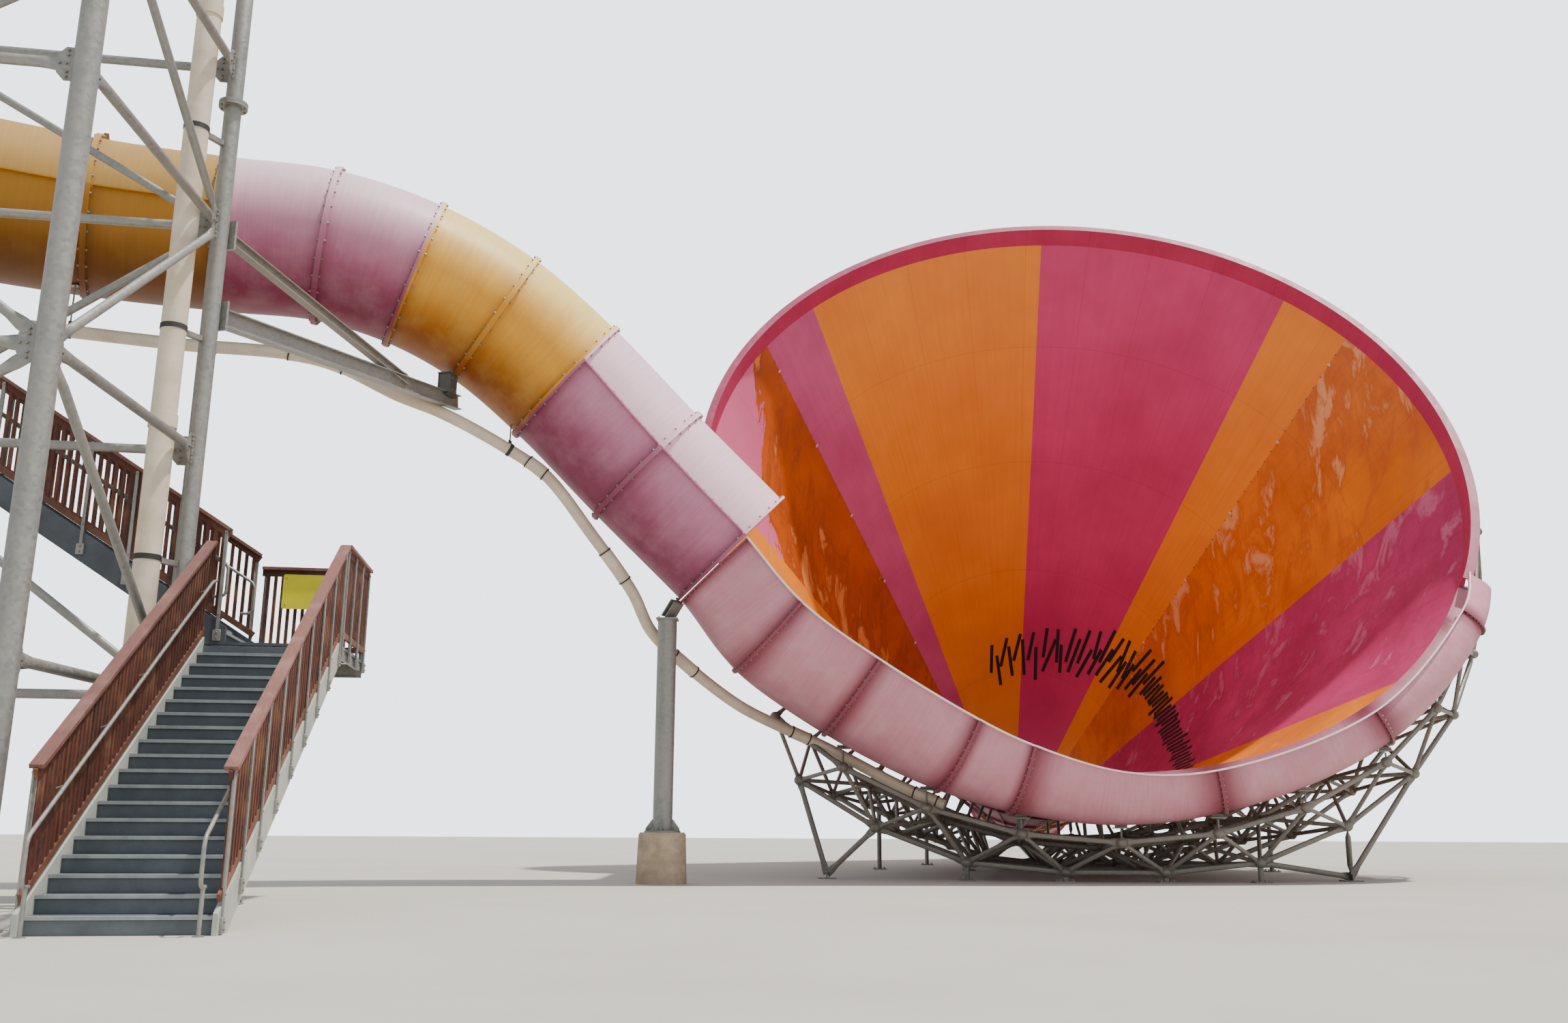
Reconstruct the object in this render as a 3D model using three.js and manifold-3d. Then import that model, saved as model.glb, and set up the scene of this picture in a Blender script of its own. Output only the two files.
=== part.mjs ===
// Water slide with a large funnel: an enclosed flume comes off a braced pipe tower, opens into a
// channel round the lower rim of the funnel and carries riders into it. Millimetres, +Z up.
// The site frame stands at the viewer's feet: +X right, +Y away. The root group moves it so that
// the origin is at the bottom centre of the whole ride.
import * as THREE from 'three';
import { mergeVertices } from 'three/addons/utils/BufferGeometryUtils.js';
import Module from 'manifold-3d';

const wasm = await Module();
wasm.setup();

// Common values
const GAP = 0.3;
const UP = new THREE.Vector3(0, 0, 1);

// Funnel: a cone on its side, its mouth turned up and towards the viewer
const MOUTH_CENTRE = [7040, 31390, 10020];
const AXIS_AZIMUTH = 3.2;
const AXIS_FALL = 29.9;
const RIM_OUTER_R = 9144;
const BAND_R = 8950;
const BAND_DEPTH = 550;
const APEX_DEPTH = 18800;
const EXIT_DEPTH = 15500;
const SHELL_WALL = 25;
const FLANGE_RISE = 110;
const FLANGE_WIDTH = 40;
const FUNNEL_FACETS = 40;
const PANEL_SEAMS = [-2.7, 30.5, 43.9, 89.2, 136.2, 149.2, 181, 226, 270, 313];
const BAND_START = -28;
const BAND_END = 206;
const RIM_JOINT_FIRST = -14;
const RIM_JOINT_STEP = 23;
const RIM_FIN_R = 260;
const COLLAR_LENGTH = 600;

// Flume: an enclosed tube, then an open channel round the mouth
const TUBE_R = 1350;
const TUBE_WALL = 20;
const TUBE_FLANGE_R = 1430;
const TUBE_SIDES = 14;
const TUBE_JOINTS = [
  [-15400, 19600, 11150], [-11900, 21400, 11150], [-9900, 22050, 11150], [-8220, 22450, 11120],
  [-6780, 23000, 10820], [-5410, 23600, 10180], [-4130, 24200, 9180], [-2600, 24700, 7680],
  [-1000, 25100, 6140],
];
const TUBE_LEADS_TO = [170, 25350, 4950];
const CHANNEL_WALL = 20;
const CHANNEL_LIP = 100;
const CHANNEL_LIP_THICK = 30;
const CHANNEL_RIB = 80;
const CHANNEL_ARC_STEPS = 6;
const CHANNEL_STEPS = 3;
// Each station of the channel: its outer lip, the mouth angle where its inner edge lies, its depth
const CHANNEL = [
  { lip: [-670, 23790, 6100], angle: 204, depth: 1350 },
  { lip: [330, 24000, 4960], angle: 219, depth: 1400 },
  { lip: [1770, 24400, 3970], angle: 232, depth: 1270 },
  { lip: [3590, 24700, 2920], angle: 247, depth: 1190 },
  { lip: [4600, 24800, 2470], angle: 256, depth: 1120 },
  { lip: [6240, 25000, 2030], angle: 268, depth: 980 },
  { lip: [8070, 25300, 2090], angle: 281, depth: 830 },
  { lip: [11430, 26100, 3270], angle: 304, depth: 700 },
  { lip: [14010, 27500, 5460], angle: 325, depth: 620 },
  { lip: [14960, 28880, 6560], angle: 334, depth: 560 },
];
const CHANNEL_RIBS = [0, 1, 2, 3, 4, 6, 7, 8, 9];

// Column under the end of the tube
const COLUMN_AT = [-2170, 25000];
const COLUMN_R = 178;
const PEDESTAL_R = 460;
const PEDESTAL_HEIGHT = 900;
const SADDLE_DROP = 330;
const SADDLE_TURN = 0.15;

// Tower of galvanised pipe, a parallelogram in plan
const TOWER_FRONT_RIGHT = [-7640, 13200];
const TOWER_BACK_RIGHT = [-7850, 17300];
const TOWER_BAY = 4300;
const TOWER_LEFTWARD = [-0.987, -0.158];
const LEG_FRONT_R = 136;
const LEG_BACK_R = 115;
const LEG_SIDES = 10;
const TOWER_TOP = 14700;
const SPLICE_Z = 10940;
const BRACE_LEVELS = [2600, 5850, 9070, 11500, 14400];
const BRACE_R = 62;
const DIAGONAL_R = 55;
const GUSSET = 420;
const GUSSET_THICK = 20;
const LEVEL_INSET = 260;
const DIAGONAL_INSET = 340;

// Stair
const RISER = 177.8;
const TREAD = 279.4;
const RISERS = 19;
const STAIR_WIDTH = 1710;
const STAIR_FOOT = [-6995, 12870];
const STAIR_DIRECTION = [-0.144, 0.99];
const LANDING_DEPTH = 1950;
const GUARD_HEIGHT = 1330;

const galvanised = new THREE.MeshStandardMaterial({ color: '#9a9d9c', roughness: 0.5, metalness: 0.8 });
const concrete = new THREE.MeshStandardMaterial({ color: '#b9a48c', roughness: 0.9, metalness: 0 });
const orange = new THREE.MeshStandardMaterial({ color: '#e08a25', roughness: 0.35, metalness: 0 });
const magenta = new THREE.MeshStandardMaterial({ color: '#c63a66', roughness: 0.35, metalness: 0 });
const rimRed = new THREE.MeshStandardMaterial({ color: '#c02850', roughness: 0.4, metalness: 0 });
const pink = new THREE.MeshStandardMaterial({ color: '#d795a8', roughness: 0.45, metalness: 0 });
const yellow = new THREE.MeshStandardMaterial({ color: '#e8b354', roughness: 0.4, metalness: 0 });
const cream = new THREE.MeshStandardMaterial({ color: '#dccbb2', roughness: 0.5, metalness: 0 });
const stepGrey = new THREE.MeshStandardMaterial({ color: '#6f7478', roughness: 0.7, metalness: 0 });
const guardWood = new THREE.MeshStandardMaterial({ color: '#7a3f38', roughness: 0.7, metalness: 0 });

const site = new THREE.Group();

// Solid helpers: closed three.js geometry in, solid out, and back to a named mesh

function toSolid(geometry) {
  const plain = geometry.clone();
  plain.deleteAttribute('normal');
  plain.deleteAttribute('uv');
  const merged = mergeVertices(plain, 1e-3);
  const points = merged.attributes.position;
  const index = merged.index.array;
  const kept = [];
  let volume = 0;
  const a = new THREE.Vector3();
  const b = new THREE.Vector3();
  const c = new THREE.Vector3();
  for (let i = 0; i < index.length; i += 3) {
    const [p, q, r] = [index[i], index[i + 1], index[i + 2]];
    if (p === q || q === r || r === p) continue;
    kept.push(p, q, r);
    a.fromBufferAttribute(points, p);
    b.fromBufferAttribute(points, q);
    c.fromBufferAttribute(points, r);
    volume += a.dot(b.cross(c));
  }
  if (volume < 0) kept.reverse();
  return new wasm.Manifold(new wasm.Mesh({
    numProp: 3,
    vertProperties: Float32Array.from(points.array),
    triVerts: Uint32Array.from(kept),
  }));
}

function fuse(solids) {
  return solids.reduce((whole, next) => whole.add(next));
}

// The largest body of a cut solid, without the offcuts
function largest(solid) {
  return solid.decompose().reduce((best, next) => (next.volume() > best.volume() ? next : best));
}

function addMesh(parent, name, solid, material) {
  const data = solid.getMesh();
  const geometry = new THREE.BufferGeometry();
  geometry.setAttribute('position', new THREE.BufferAttribute(Float32Array.from(data.vertProperties), 3));
  geometry.setIndex(new THREE.BufferAttribute(Uint32Array.from(data.triVerts), 1));
  geometry.computeVertexNormals();
  const mesh = new THREE.Mesh(geometry, material);
  mesh.name = name;
  parent.add(mesh);
  return mesh;
}

const vec = (p) => new THREE.Vector3(...p);
const mix = (a, b, t) => a.clone().lerp(b, t);

function bar(from, to, radius, sides = 6) {
  const along = to.clone().sub(from);
  const geometry = new THREE.CylinderGeometry(radius, radius, along.length(), sides);
  geometry.applyQuaternion(new THREE.Quaternion().setFromUnitVectors(
    new THREE.Vector3(0, 1, 0), along.clone().normalize()));
  geometry.translate(...mix(from, to, 0.5).toArray());
  return toSolid(geometry);
}

// A rectangular beam from one point to another, its height kept upright
function beam(from, to, width, height) {
  const along = to.clone().sub(from);
  const axis = along.clone().normalize();
  const side = new THREE.Vector3().crossVectors(axis, UP).normalize();
  const top = new THREE.Vector3().crossVectors(side, axis);
  const geometry = new THREE.BoxGeometry(width, along.length(), height);
  geometry.applyMatrix4(new THREE.Matrix4().makeBasis(side, axis, top));
  geometry.translate(...mix(from, to, 0.5).toArray());
  return toSolid(geometry);
}

function block(centre, size, turn = 0) {
  const geometry = new THREE.BoxGeometry(...size);
  geometry.rotateZ(turn);
  geometry.translate(...centre);
  return toSolid(geometry);
}

function drum(centre, lowZ, highZ, lowR, highR, sides = 24) {
  const geometry = new THREE.CylinderGeometry(highR, lowR, highZ - lowZ, sides);
  geometry.rotateX(Math.PI / 2);
  geometry.translate(centre[0], centre[1], (lowZ + highZ) / 2);
  return toSolid(geometry);
}

// A closed skin over a row of outlines with equal point counts: capped at both ends where there is
// a flat plan for the caps, or else closed from the last outline to the first. Each four-sided face
// is split along its shorter diagonal, so both faces of a thin twisted wall bend the same way.
function loft(outlines, capPlan) {
  const count = outlines[0].length;
  const points = outlines.flat();
  const positions = points.flatMap((p) => [p.x, p.y, p.z]);
  const index = [];
  const spans = capPlan ? outlines.length - 1 : outlines.length;
  for (let row = 0; row < spans; row += 1) {
    const ahead = (row + 1) % outlines.length;
    for (let i = 0; i < count; i += 1) {
      const next = (i + 1) % count;
      const [a, b] = [row * count + i, row * count + next];
      const [c, d] = [ahead * count + i, ahead * count + next];
      const ascending = points[a].distanceTo(points[d]) <= points[b].distanceTo(points[c]);
      index.push(...(ascending ? [a, b, d, a, d, c] : [a, b, c, b, d, c]));
    }
  }
  if (capPlan) {
    const last = (outlines.length - 1) * count;
    const turned = THREE.ShapeUtils.isClockWise(capPlan);
    for (const [p, b, c] of THREE.ShapeUtils.triangulateShape(capPlan, [])) {
      const [q, r] = turned ? [c, b] : [b, c];
      index.push(p, r, q, last + p, last + q, last + r);
    }
  }
  const geometry = new THREE.BufferGeometry();
  geometry.setAttribute('position', new THREE.Float32BufferAttribute(positions, 3));
  geometry.setIndex(index);
  return toSolid(geometry);
}

// Funnel

const axisAzimuth = THREE.MathUtils.degToRad(AXIS_AZIMUTH);
const axisFall = THREE.MathUtils.degToRad(AXIS_FALL);
const inward = new THREE.Vector3(
  Math.sin(axisAzimuth) * Math.cos(axisFall),
  Math.cos(axisAzimuth) * Math.cos(axisFall),
  -Math.sin(axisFall));
const mouthRight = new THREE.Vector3().crossVectors(inward, UP).normalize();
const mouthUp = new THREE.Vector3().crossVectors(mouthRight, inward);
const funnelFrame = new THREE.Matrix4()
  .makeBasis(mouthRight, mouthUp, inward.clone().negate())
  .setPosition(vec(MOUTH_CENTRE));

const funnel = new THREE.Group();
funnel.position.copy(vec(MOUTH_CENTRE));
funnel.quaternion.setFromRotationMatrix(funnelFrame);
site.add(funnel);

const coneRadius = (depth) => BAND_R * (APEX_DEPTH - depth) / (APEX_DEPTH - BAND_DEPTH);

// A point in the site frame by its angle round the mouth, its radius and its depth into the funnel
function funnelPoint(angle, radius, depth) {
  const turn = THREE.MathUtils.degToRad(angle);
  return new THREE.Vector3(radius * Math.cos(turn), radius * Math.sin(turn), -depth)
    .applyMatrix4(funnelFrame);
}

// A ring about the funnel's axis from a closed outline of [radius, depth] corners
function ring(corners, facets = FUNNEL_FACETS) {
  const outline = corners.concat([corners[0]]).map(([r, depth]) => new THREE.Vector2(r, -depth));
  const geometry = new THREE.LatheGeometry(outline, facets);
  geometry.rotateX(Math.PI / 2);
  return toSolid(geometry);
}

// A wedge about the funnel's axis between two angles, half a gap back from both
function wedge(fromAngle, toAngle) {
  const reach = 40000;
  const half = THREE.MathUtils.degToRad((toAngle - fromAngle) / 2);
  const middle = THREE.MathUtils.degToRad((toAngle + fromAngle) / 2);
  const inset = GAP / 2 / Math.sin(half);
  const shape = new THREE.Shape([
    new THREE.Vector2(inset, 0),
    new THREE.Vector2(inset + reach * Math.cos(half), -reach * Math.sin(half)),
    new THREE.Vector2(inset + reach * Math.cos(half), reach * Math.sin(half)),
  ]);
  const geometry = new THREE.ExtrudeGeometry(shape, { depth: 2 * reach, bevelEnabled: false });
  geometry.translate(0, 0, -reach);
  geometry.rotateZ(middle);
  return toSolid(geometry);
}

// A flat plate centred on the plane of one angle, from an outline of [radius, depth] corners
function radialPlate(angle, corners, thickness) {
  const shape = new THREE.Shape(corners.map(([r, depth]) => new THREE.Vector2(r, -depth)));
  const geometry = new THREE.ExtrudeGeometry(shape, { depth: thickness, bevelEnabled: false });
  geometry.rotateX(Math.PI / 2);
  geometry.translate(0, thickness / 2, 0);
  geometry.rotateZ(THREE.MathUtils.degToRad(angle));
  return toSolid(geometry);
}

const outerRadius = (depth) => coneRadius(depth) + SHELL_WALL;
const shellOutside = ring([
  [0, BAND_DEPTH],
  [outerRadius(BAND_DEPTH) + FLANGE_RISE, BAND_DEPTH],
  [outerRadius(BAND_DEPTH) + FLANGE_RISE, BAND_DEPTH + FLANGE_WIDTH],
  [outerRadius(BAND_DEPTH + FLANGE_WIDTH), BAND_DEPTH + FLANGE_WIDTH],
  [outerRadius(EXIT_DEPTH - FLANGE_WIDTH), EXIT_DEPTH - FLANGE_WIDTH],
  [outerRadius(EXIT_DEPTH) + FLANGE_RISE, EXIT_DEPTH - FLANGE_WIDTH],
  [outerRadius(EXIT_DEPTH) + FLANGE_RISE, EXIT_DEPTH],
  [0, EXIT_DEPTH],
]);
const shellInside = ring([
  [0, BAND_DEPTH - 100],
  [coneRadius(BAND_DEPTH - 100), BAND_DEPTH - 100],
  [coneRadius(EXIT_DEPTH + 100), EXIT_DEPTH + 100],
  [0, EXIT_DEPTH + 100],
]);
const seamPlate = [
  [coneRadius(BAND_DEPTH) - 100, BAND_DEPTH + 5],
  [outerRadius(BAND_DEPTH) + FLANGE_RISE - 20, BAND_DEPTH + 5],
  [outerRadius(EXIT_DEPTH) + FLANGE_RISE - 20, EXIT_DEPTH - 5],
  [coneRadius(EXIT_DEPTH) - 100, EXIT_DEPTH - 5],
];

PANEL_SEAMS.forEach((start, i) => {
  const end = i + 1 < PANEL_SEAMS.length ? PANEL_SEAMS[i + 1] : PANEL_SEAMS[0] + 360;
  const panel = fuse([
    shellOutside,
    radialPlate(start, seamPlate, 2 * FLANGE_WIDTH),
    radialPlate(end, seamPlate, 2 * FLANGE_WIDTH),
  ]).intersect(wedge(start, end)).subtract(shellInside);
  const name = `funnel_panel_${String(i + 1).padStart(2, '0')}`;
  const isOrange = [0, 1, 3, 5, 6, 8].includes(i);
  addMesh(funnel, name, panel, isOrange ? orange : magenta);
});

const bandSolid = ring([
  [BAND_R, 0],
  [RIM_OUTER_R, 0],
  [RIM_OUTER_R, 30],
  [BAND_R + SHELL_WALL, 30],
  [BAND_R + SHELL_WALL, BAND_DEPTH - FLANGE_WIDTH],
  [BAND_R + SHELL_WALL + FLANGE_RISE, BAND_DEPTH - FLANGE_WIDTH],
  [BAND_R + SHELL_WALL + FLANGE_RISE, BAND_DEPTH - GAP],
  [BAND_R, BAND_DEPTH - GAP],
]);

// A half-round fin that stiffens a joint of the rim band
function rimFin(angle) {
  const shape = new THREE.Shape();
  shape.moveTo(BAND_R + 10, -BAND_DEPTH / 2 - RIM_FIN_R);
  shape.absarc(BAND_R + 10, -BAND_DEPTH / 2, RIM_FIN_R, -Math.PI / 2, Math.PI / 2, false);
  const geometry = new THREE.ExtrudeGeometry(shape, { depth: 50, bevelEnabled: false, curveSegments: 3 });
  geometry.rotateX(Math.PI / 2);
  geometry.translate(0, 25, 0);
  geometry.rotateZ(THREE.MathUtils.degToRad(angle));
  return toSolid(geometry);
}

const bandPieces = [
  ['rim_band_right', BAND_START, 30.5],
  ['rim_band_top_right', 30.5, 89.2],
  ['rim_band_top_left', 89.2, 149.2],
  ['rim_band_left', 149.2, BAND_END],
];
for (const [name, start, end] of bandPieces) {
  const solids = [bandSolid.intersect(wedge(start, end))];
  for (let angle = RIM_JOINT_FIRST; angle < end - 2; angle += RIM_JOINT_STEP) {
    if (angle > start + 2) solids.push(rimFin(angle));
  }
  addMesh(funnel, name, fuse(solids), rimRed);
}

const collarR = coneRadius(EXIT_DEPTH);
addMesh(funnel, 'funnel_exit_collar', ring([
  [collarR, EXIT_DEPTH + GAP],
  [outerRadius(EXIT_DEPTH) + FLANGE_RISE, EXIT_DEPTH + GAP],
  [outerRadius(EXIT_DEPTH) + FLANGE_RISE, EXIT_DEPTH + FLANGE_WIDTH],
  [collarR + SHELL_WALL, EXIT_DEPTH + FLANGE_WIDTH],
  [collarR + SHELL_WALL, EXIT_DEPTH + COLLAR_LENGTH - FLANGE_WIDTH],
  [collarR + SHELL_WALL + FLANGE_RISE, EXIT_DEPTH + COLLAR_LENGTH - FLANGE_WIDTH],
  [collarR + SHELL_WALL + FLANGE_RISE, EXIT_DEPTH + COLLAR_LENGTH],
  [collarR, EXIT_DEPTH + COLLAR_LENGTH],
], FUNNEL_FACETS / 2), magenta);

// Tube

const tubePath = TUBE_JOINTS.concat([TUBE_LEADS_TO]).map(vec);
const tubeCurve = new THREE.CatmullRomCurve3(tubePath, false, 'centripetal');
const tubeSpans = TUBE_JOINTS.length;

function circleAt(t, radius, shift) {
  const tangent = tubeCurve.getTangent(t);
  const centre = tubeCurve.getPoint(t).addScaledVector(tangent, shift);
  const side = new THREE.Vector3().crossVectors(tangent, UP).normalize();
  const top = new THREE.Vector3().crossVectors(side, tangent);
  const outline = [];
  for (let i = 0; i < TUBE_SIDES; i += 1) {
    const angle = 2 * Math.PI * i / TUBE_SIDES;
    outline.push(centre.clone()
      .addScaledVector(side, radius * Math.cos(angle))
      .addScaledVector(top, radius * Math.sin(angle)));
  }
  return outline;
}

const circlePlan = [];
for (let i = 0; i < TUBE_SIDES; i += 1) {
  const angle = 2 * Math.PI * i / TUBE_SIDES;
  circlePlan.push(new THREE.Vector2(Math.cos(angle), Math.sin(angle)));
}

// The circles over the outside of one segment, its radii grown by a clearance
function tubeRows(i, grow) {
  const from = i / tubeSpans;
  const to = (i + 1) / tubeSpans;
  const inset = grow > 0 ? 0 : GAP / 2;
  return [
    circleAt(from, TUBE_FLANGE_R + grow, inset),
    circleAt(from, TUBE_FLANGE_R + grow, FLANGE_WIDTH + grow),
    circleAt(from, TUBE_R + grow, FLANGE_WIDTH + grow),
    ...circlesBetween(i, TUBE_R + grow),
    circleAt(to, TUBE_R + grow, -FLANGE_WIDTH - grow),
    circleAt(to, TUBE_FLANGE_R + grow, -FLANGE_WIDTH - grow),
    circleAt(to, TUBE_FLANGE_R + grow, -inset),
  ];
}

function circlesBetween(i, radius) {
  const steps = i === 0 ? 3 : 2;
  const rows = [];
  for (let k = 1; k < steps; k += 1) rows.push(circleAt((i + k / steps) / tubeSpans, radius, 0));
  return rows;
}

function tubeSegment(i) {
  const boreR = TUBE_R - TUBE_WALL;
  return loft([
    ...tubeRows(i, 0),
    circleAt((i + 1) / tubeSpans, boreR, -GAP / 2),
    ...circlesBetween(i, boreR).reverse(),
    circleAt(i / tubeSpans, boreR, GAP / 2),
  ], null);
}

const tubeColours = [yellow, yellow, pink, pink, yellow, yellow, pink, pink];
tubeColours.forEach((colour, i) => {
  addMesh(site, `tube_segment_${i + 1}`, tubeSegment(i), colour);
});
const tubeClearance = fuse(tubeColours.map((colour, i) => loft(tubeRows(i, GAP), circlePlan)));

function flangeBottom(joint) {
  const t = joint / tubeSpans;
  const tangent = tubeCurve.getTangent(t);
  const side = new THREE.Vector3().crossVectors(tangent, UP).normalize();
  const top = new THREE.Vector3().crossVectors(side, tangent);
  return tubeCurve.getPoint(t).addScaledVector(top, -TUBE_FLANGE_R);
}

// Channel

const lipCurve = new THREE.CatmullRomCurve3(CHANNEL.map((s) => vec(s.lip)), false, 'centripetal');
const channelSpans = CHANNEL.length - 1;

function channelValue(t, key) {
  const at = Math.min(t * channelSpans, channelSpans - 1e-6);
  const i = Math.floor(at);
  return THREE.MathUtils.lerp(CHANNEL[i][key], CHANNEL[i + 1][key], at - i);
}

// The upper end of the channel's inner wall: level with the lip beside the tube, then on the mouth
function innerTop(t) {
  const angle = channelValue(t, 'angle');
  const onMouth = funnelPoint(angle, BAND_R, BAND_DEPTH * 0.6);
  const lip = lipCurve.getPoint(t);
  const tangent = lipCurve.getTangent(t);
  const across = new THREE.Vector3().crossVectors(UP, tangent).normalize();
  const besideTube = lip.clone().addScaledVector(across, 2 * (TUBE_R - TUBE_WALL));
  const blend = THREE.MathUtils.smoothstep(t * channelSpans, 0.8, 2);
  return mix(besideTube, onMouth, blend);
}

function channelFrame(t) {
  const lip = lipCurve.getPoint(t);
  const inner = innerTop(t);
  const ahead = 0.002;
  const t0 = Math.max(t - ahead, 0);
  const t1 = Math.min(t + ahead, 1);
  const middle = (u) => mix(lipCurve.getPoint(u), innerTop(u), 0.5);
  const tangent = middle(t1).sub(middle(t0)).normalize();
  const across = inner.clone().sub(lip);
  const down = new THREE.Vector3().crossVectors(across, tangent).normalize();
  if (down.z > 0) down.negate();
  return { lip, inner, tangent, across, down, depth: channelValue(t, 'depth') };
}

// Outline of the channel's wall, lip first, and then back along its outside. A filled outline
// leaves out the inside, for cutting what stands under the channel.
function channelOutline(t, skin, shift, filled) {
  const { lip, inner, tangent, across, down, depth } = channelFrame(t);
  const middle = mix(lip, inner, 0.5);
  const half = across.length() / 2;
  const wide = across.clone().normalize();
  const inside = [];
  const outside = [];
  for (let i = 0; i <= CHANNEL_ARC_STEPS; i += 1) {
    const turn = Math.PI * i / CHANNEL_ARC_STEPS;
    const point = middle.clone()
      .addScaledVector(wide, -half * Math.cos(turn))
      .addScaledVector(down, depth * Math.sin(turn));
    const out = new THREE.Vector3()
      .addScaledVector(wide, -Math.cos(turn) * depth)
      .addScaledVector(down, Math.sin(turn) * half)
      .normalize();
    inside.push(point);
    outside.push(point.clone().addScaledVector(out, skin));
  }
  outside[0].addScaledVector(down, CHANNEL_LIP_THICK);
  outside[CHANNEL_ARC_STEPS].addScaledVector(down, skin);
  const onMouth = funnelPoint(channelValue(t, 'angle'), BAND_R, BAND_DEPTH + 120);
  const outline = [
    ...(filled ? [] : inside),
    onMouth,
    onMouth.clone().addScaledVector(down, skin),
    ...outside.reverse(),
    lip.clone().addScaledVector(wide, -CHANNEL_LIP).addScaledVector(down, CHANNEL_LIP_THICK),
    lip.clone().addScaledVector(wide, -CHANNEL_LIP),
  ];
  return outline.map((p) => p.addScaledVector(tangent, shift));
}

// Flat plan with the same point order, for the caps
function channelPlan(filled) {
  const inside = [];
  const outside = [];
  for (let i = 0; i <= CHANNEL_ARC_STEPS; i += 1) {
    const turn = Math.PI * i / CHANNEL_ARC_STEPS;
    inside.push(new THREE.Vector2(-Math.cos(turn), -Math.sin(turn)));
    outside.push(new THREE.Vector2(-1.1 * Math.cos(turn), -1.1 * Math.sin(turn)));
  }
  outside[0].y -= 0.1;
  outside[CHANNEL_ARC_STEPS].y -= 0.1;
  return [
    ...(filled ? [] : inside),
    new THREE.Vector2(1.5, 0.1),
    new THREE.Vector2(1.5, -0.1),
    ...outside.reverse(),
    new THREE.Vector2(-1.3, -0.1),
    new THREE.Vector2(-1.3, 0),
  ];
}

// One length of channel between two ribs, its skin grown by a clearance if it is filled
function channelLength(k, grow, filled) {
  const from = CHANNEL_RIBS[k] / channelSpans;
  const to = CHANNEL_RIBS[k + 1] / channelSpans;
  const steps = CHANNEL_STEPS * (CHANNEL_RIBS[k + 1] - CHANNEL_RIBS[k]);
  const section = (t, skin, shift) => channelOutline(t, skin + grow, shift, filled);
  const inset = filled ? 0 : GAP / 2;
  const sections = [
    section(from, CHANNEL_RIB, inset),
    section(from, CHANNEL_RIB, FLANGE_WIDTH + grow),
    section(from, CHANNEL_WALL, FLANGE_WIDTH + grow),
  ];
  for (let i = 1; i < steps; i += 1) {
    sections.push(section(from + (to - from) * i / steps, CHANNEL_WALL, 0));
  }
  sections.push(
    section(to, CHANNEL_WALL, -FLANGE_WIDTH - grow),
    section(to, CHANNEL_RIB, -FLANGE_WIDTH - grow),
    section(to, CHANNEL_RIB, -inset));
  return loft(sections, channelPlan(filled));
}

const behindMouthFace = (() => {
  const geometry = new THREE.BoxGeometry(60000, 60000, 30000);
  geometry.translate(0, 0, -15000 - BAND_DEPTH + GAP);
  geometry.applyMatrix4(funnelFrame);
  return toSolid(geometry);
})();
const channelRoom = wedge(BAND_END, 360 + BAND_START).transform(funnelFrame.elements);

const channelClearances = [];
for (let k = 0; k + 1 < CHANNEL_RIBS.length; k += 1) {
  const piece = channelLength(k, 0, false).subtract(behindMouthFace).intersect(channelRoom);
  addMesh(site, `channel_segment_${k + 1}`, piece, pink);
  channelClearances.push(channelLength(k, GAP, true));
}
const channelClearance = fuse(channelClearances);

// Column and pedestal

addMesh(site, 'column_pedestal',
  drum(COLUMN_AT, 0, PEDESTAL_HEIGHT, PEDESTAL_R, PEDESTAL_R * 0.92, 16), concrete);
const columnBase = PEDESTAL_HEIGHT + GAP;
const lastFlange = flangeBottom(TUBE_JOINTS.length - 1);
const saddleFoot = lastFlange.z - SADDLE_DROP;
const saddleTop = lastFlange.clone().add(new THREE.Vector3(-15, 0, 60));
addMesh(site, 'flume_column', fuse([
  drum(COLUMN_AT, columnBase, columnBase + 30, 330, 330, 16),
  drum(COLUMN_AT, columnBase + 10, saddleFoot, COLUMN_R, COLUMN_R, 12),
  block([COLUMN_AT[0], COLUMN_AT[1], columnBase + 120], [620, 16, 220]),
  block([COLUMN_AT[0], COLUMN_AT[1], columnBase + 120], [16, 620, 220]),
  block([COLUMN_AT[0], COLUMN_AT[1], saddleFoot], [420, 420, 30], SADDLE_TURN),
  beam(new THREE.Vector3(COLUMN_AT[0], COLUMN_AT[1], saddleFoot), saddleTop, 320, 120),
]).subtract(tubeClearance).subtract(channelClearance), galvanised);

// Tower

const leftward = new THREE.Vector3(...TOWER_LEFTWARD, 0).normalize();
const legAt = {
  front_right: vec([...TOWER_FRONT_RIGHT, 0]),
  back_right: vec([...TOWER_BACK_RIGHT, 0]),
};
legAt.front_left = legAt.front_right.clone().addScaledVector(leftward, TOWER_BAY);
legAt.back_left = legAt.back_right.clone().addScaledVector(leftward, TOWER_BAY);
const legRadius = {
  front_right: LEG_FRONT_R,
  back_right: LEG_BACK_R,
  front_left: LEG_FRONT_R,
  back_left: LEG_BACK_R,
};

for (const [name, at] of Object.entries(legAt)) {
  const r = legRadius[name];
  const centre = [at.x, at.y];
  addMesh(site, `tower_leg_${name}`, fuse([
    drum(centre, 0, 30, r + 150, r + 150, LEG_SIDES),
    drum(centre, 10, TOWER_TOP, r, r, LEG_SIDES),
    drum(centre, SPLICE_Z - 40, SPLICE_Z + 40, r + 80, r + 80, LEG_SIDES),
  ]), galvanised);
}

// The room that a leg takes, for cutting what ends against it
function legRoom(name) {
  const at = legAt[name];
  const r = legRadius[name] + GAP;
  return drum([at.x, at.y], -100, TOWER_TOP + 100, r, r, LEG_SIDES);
}

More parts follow.
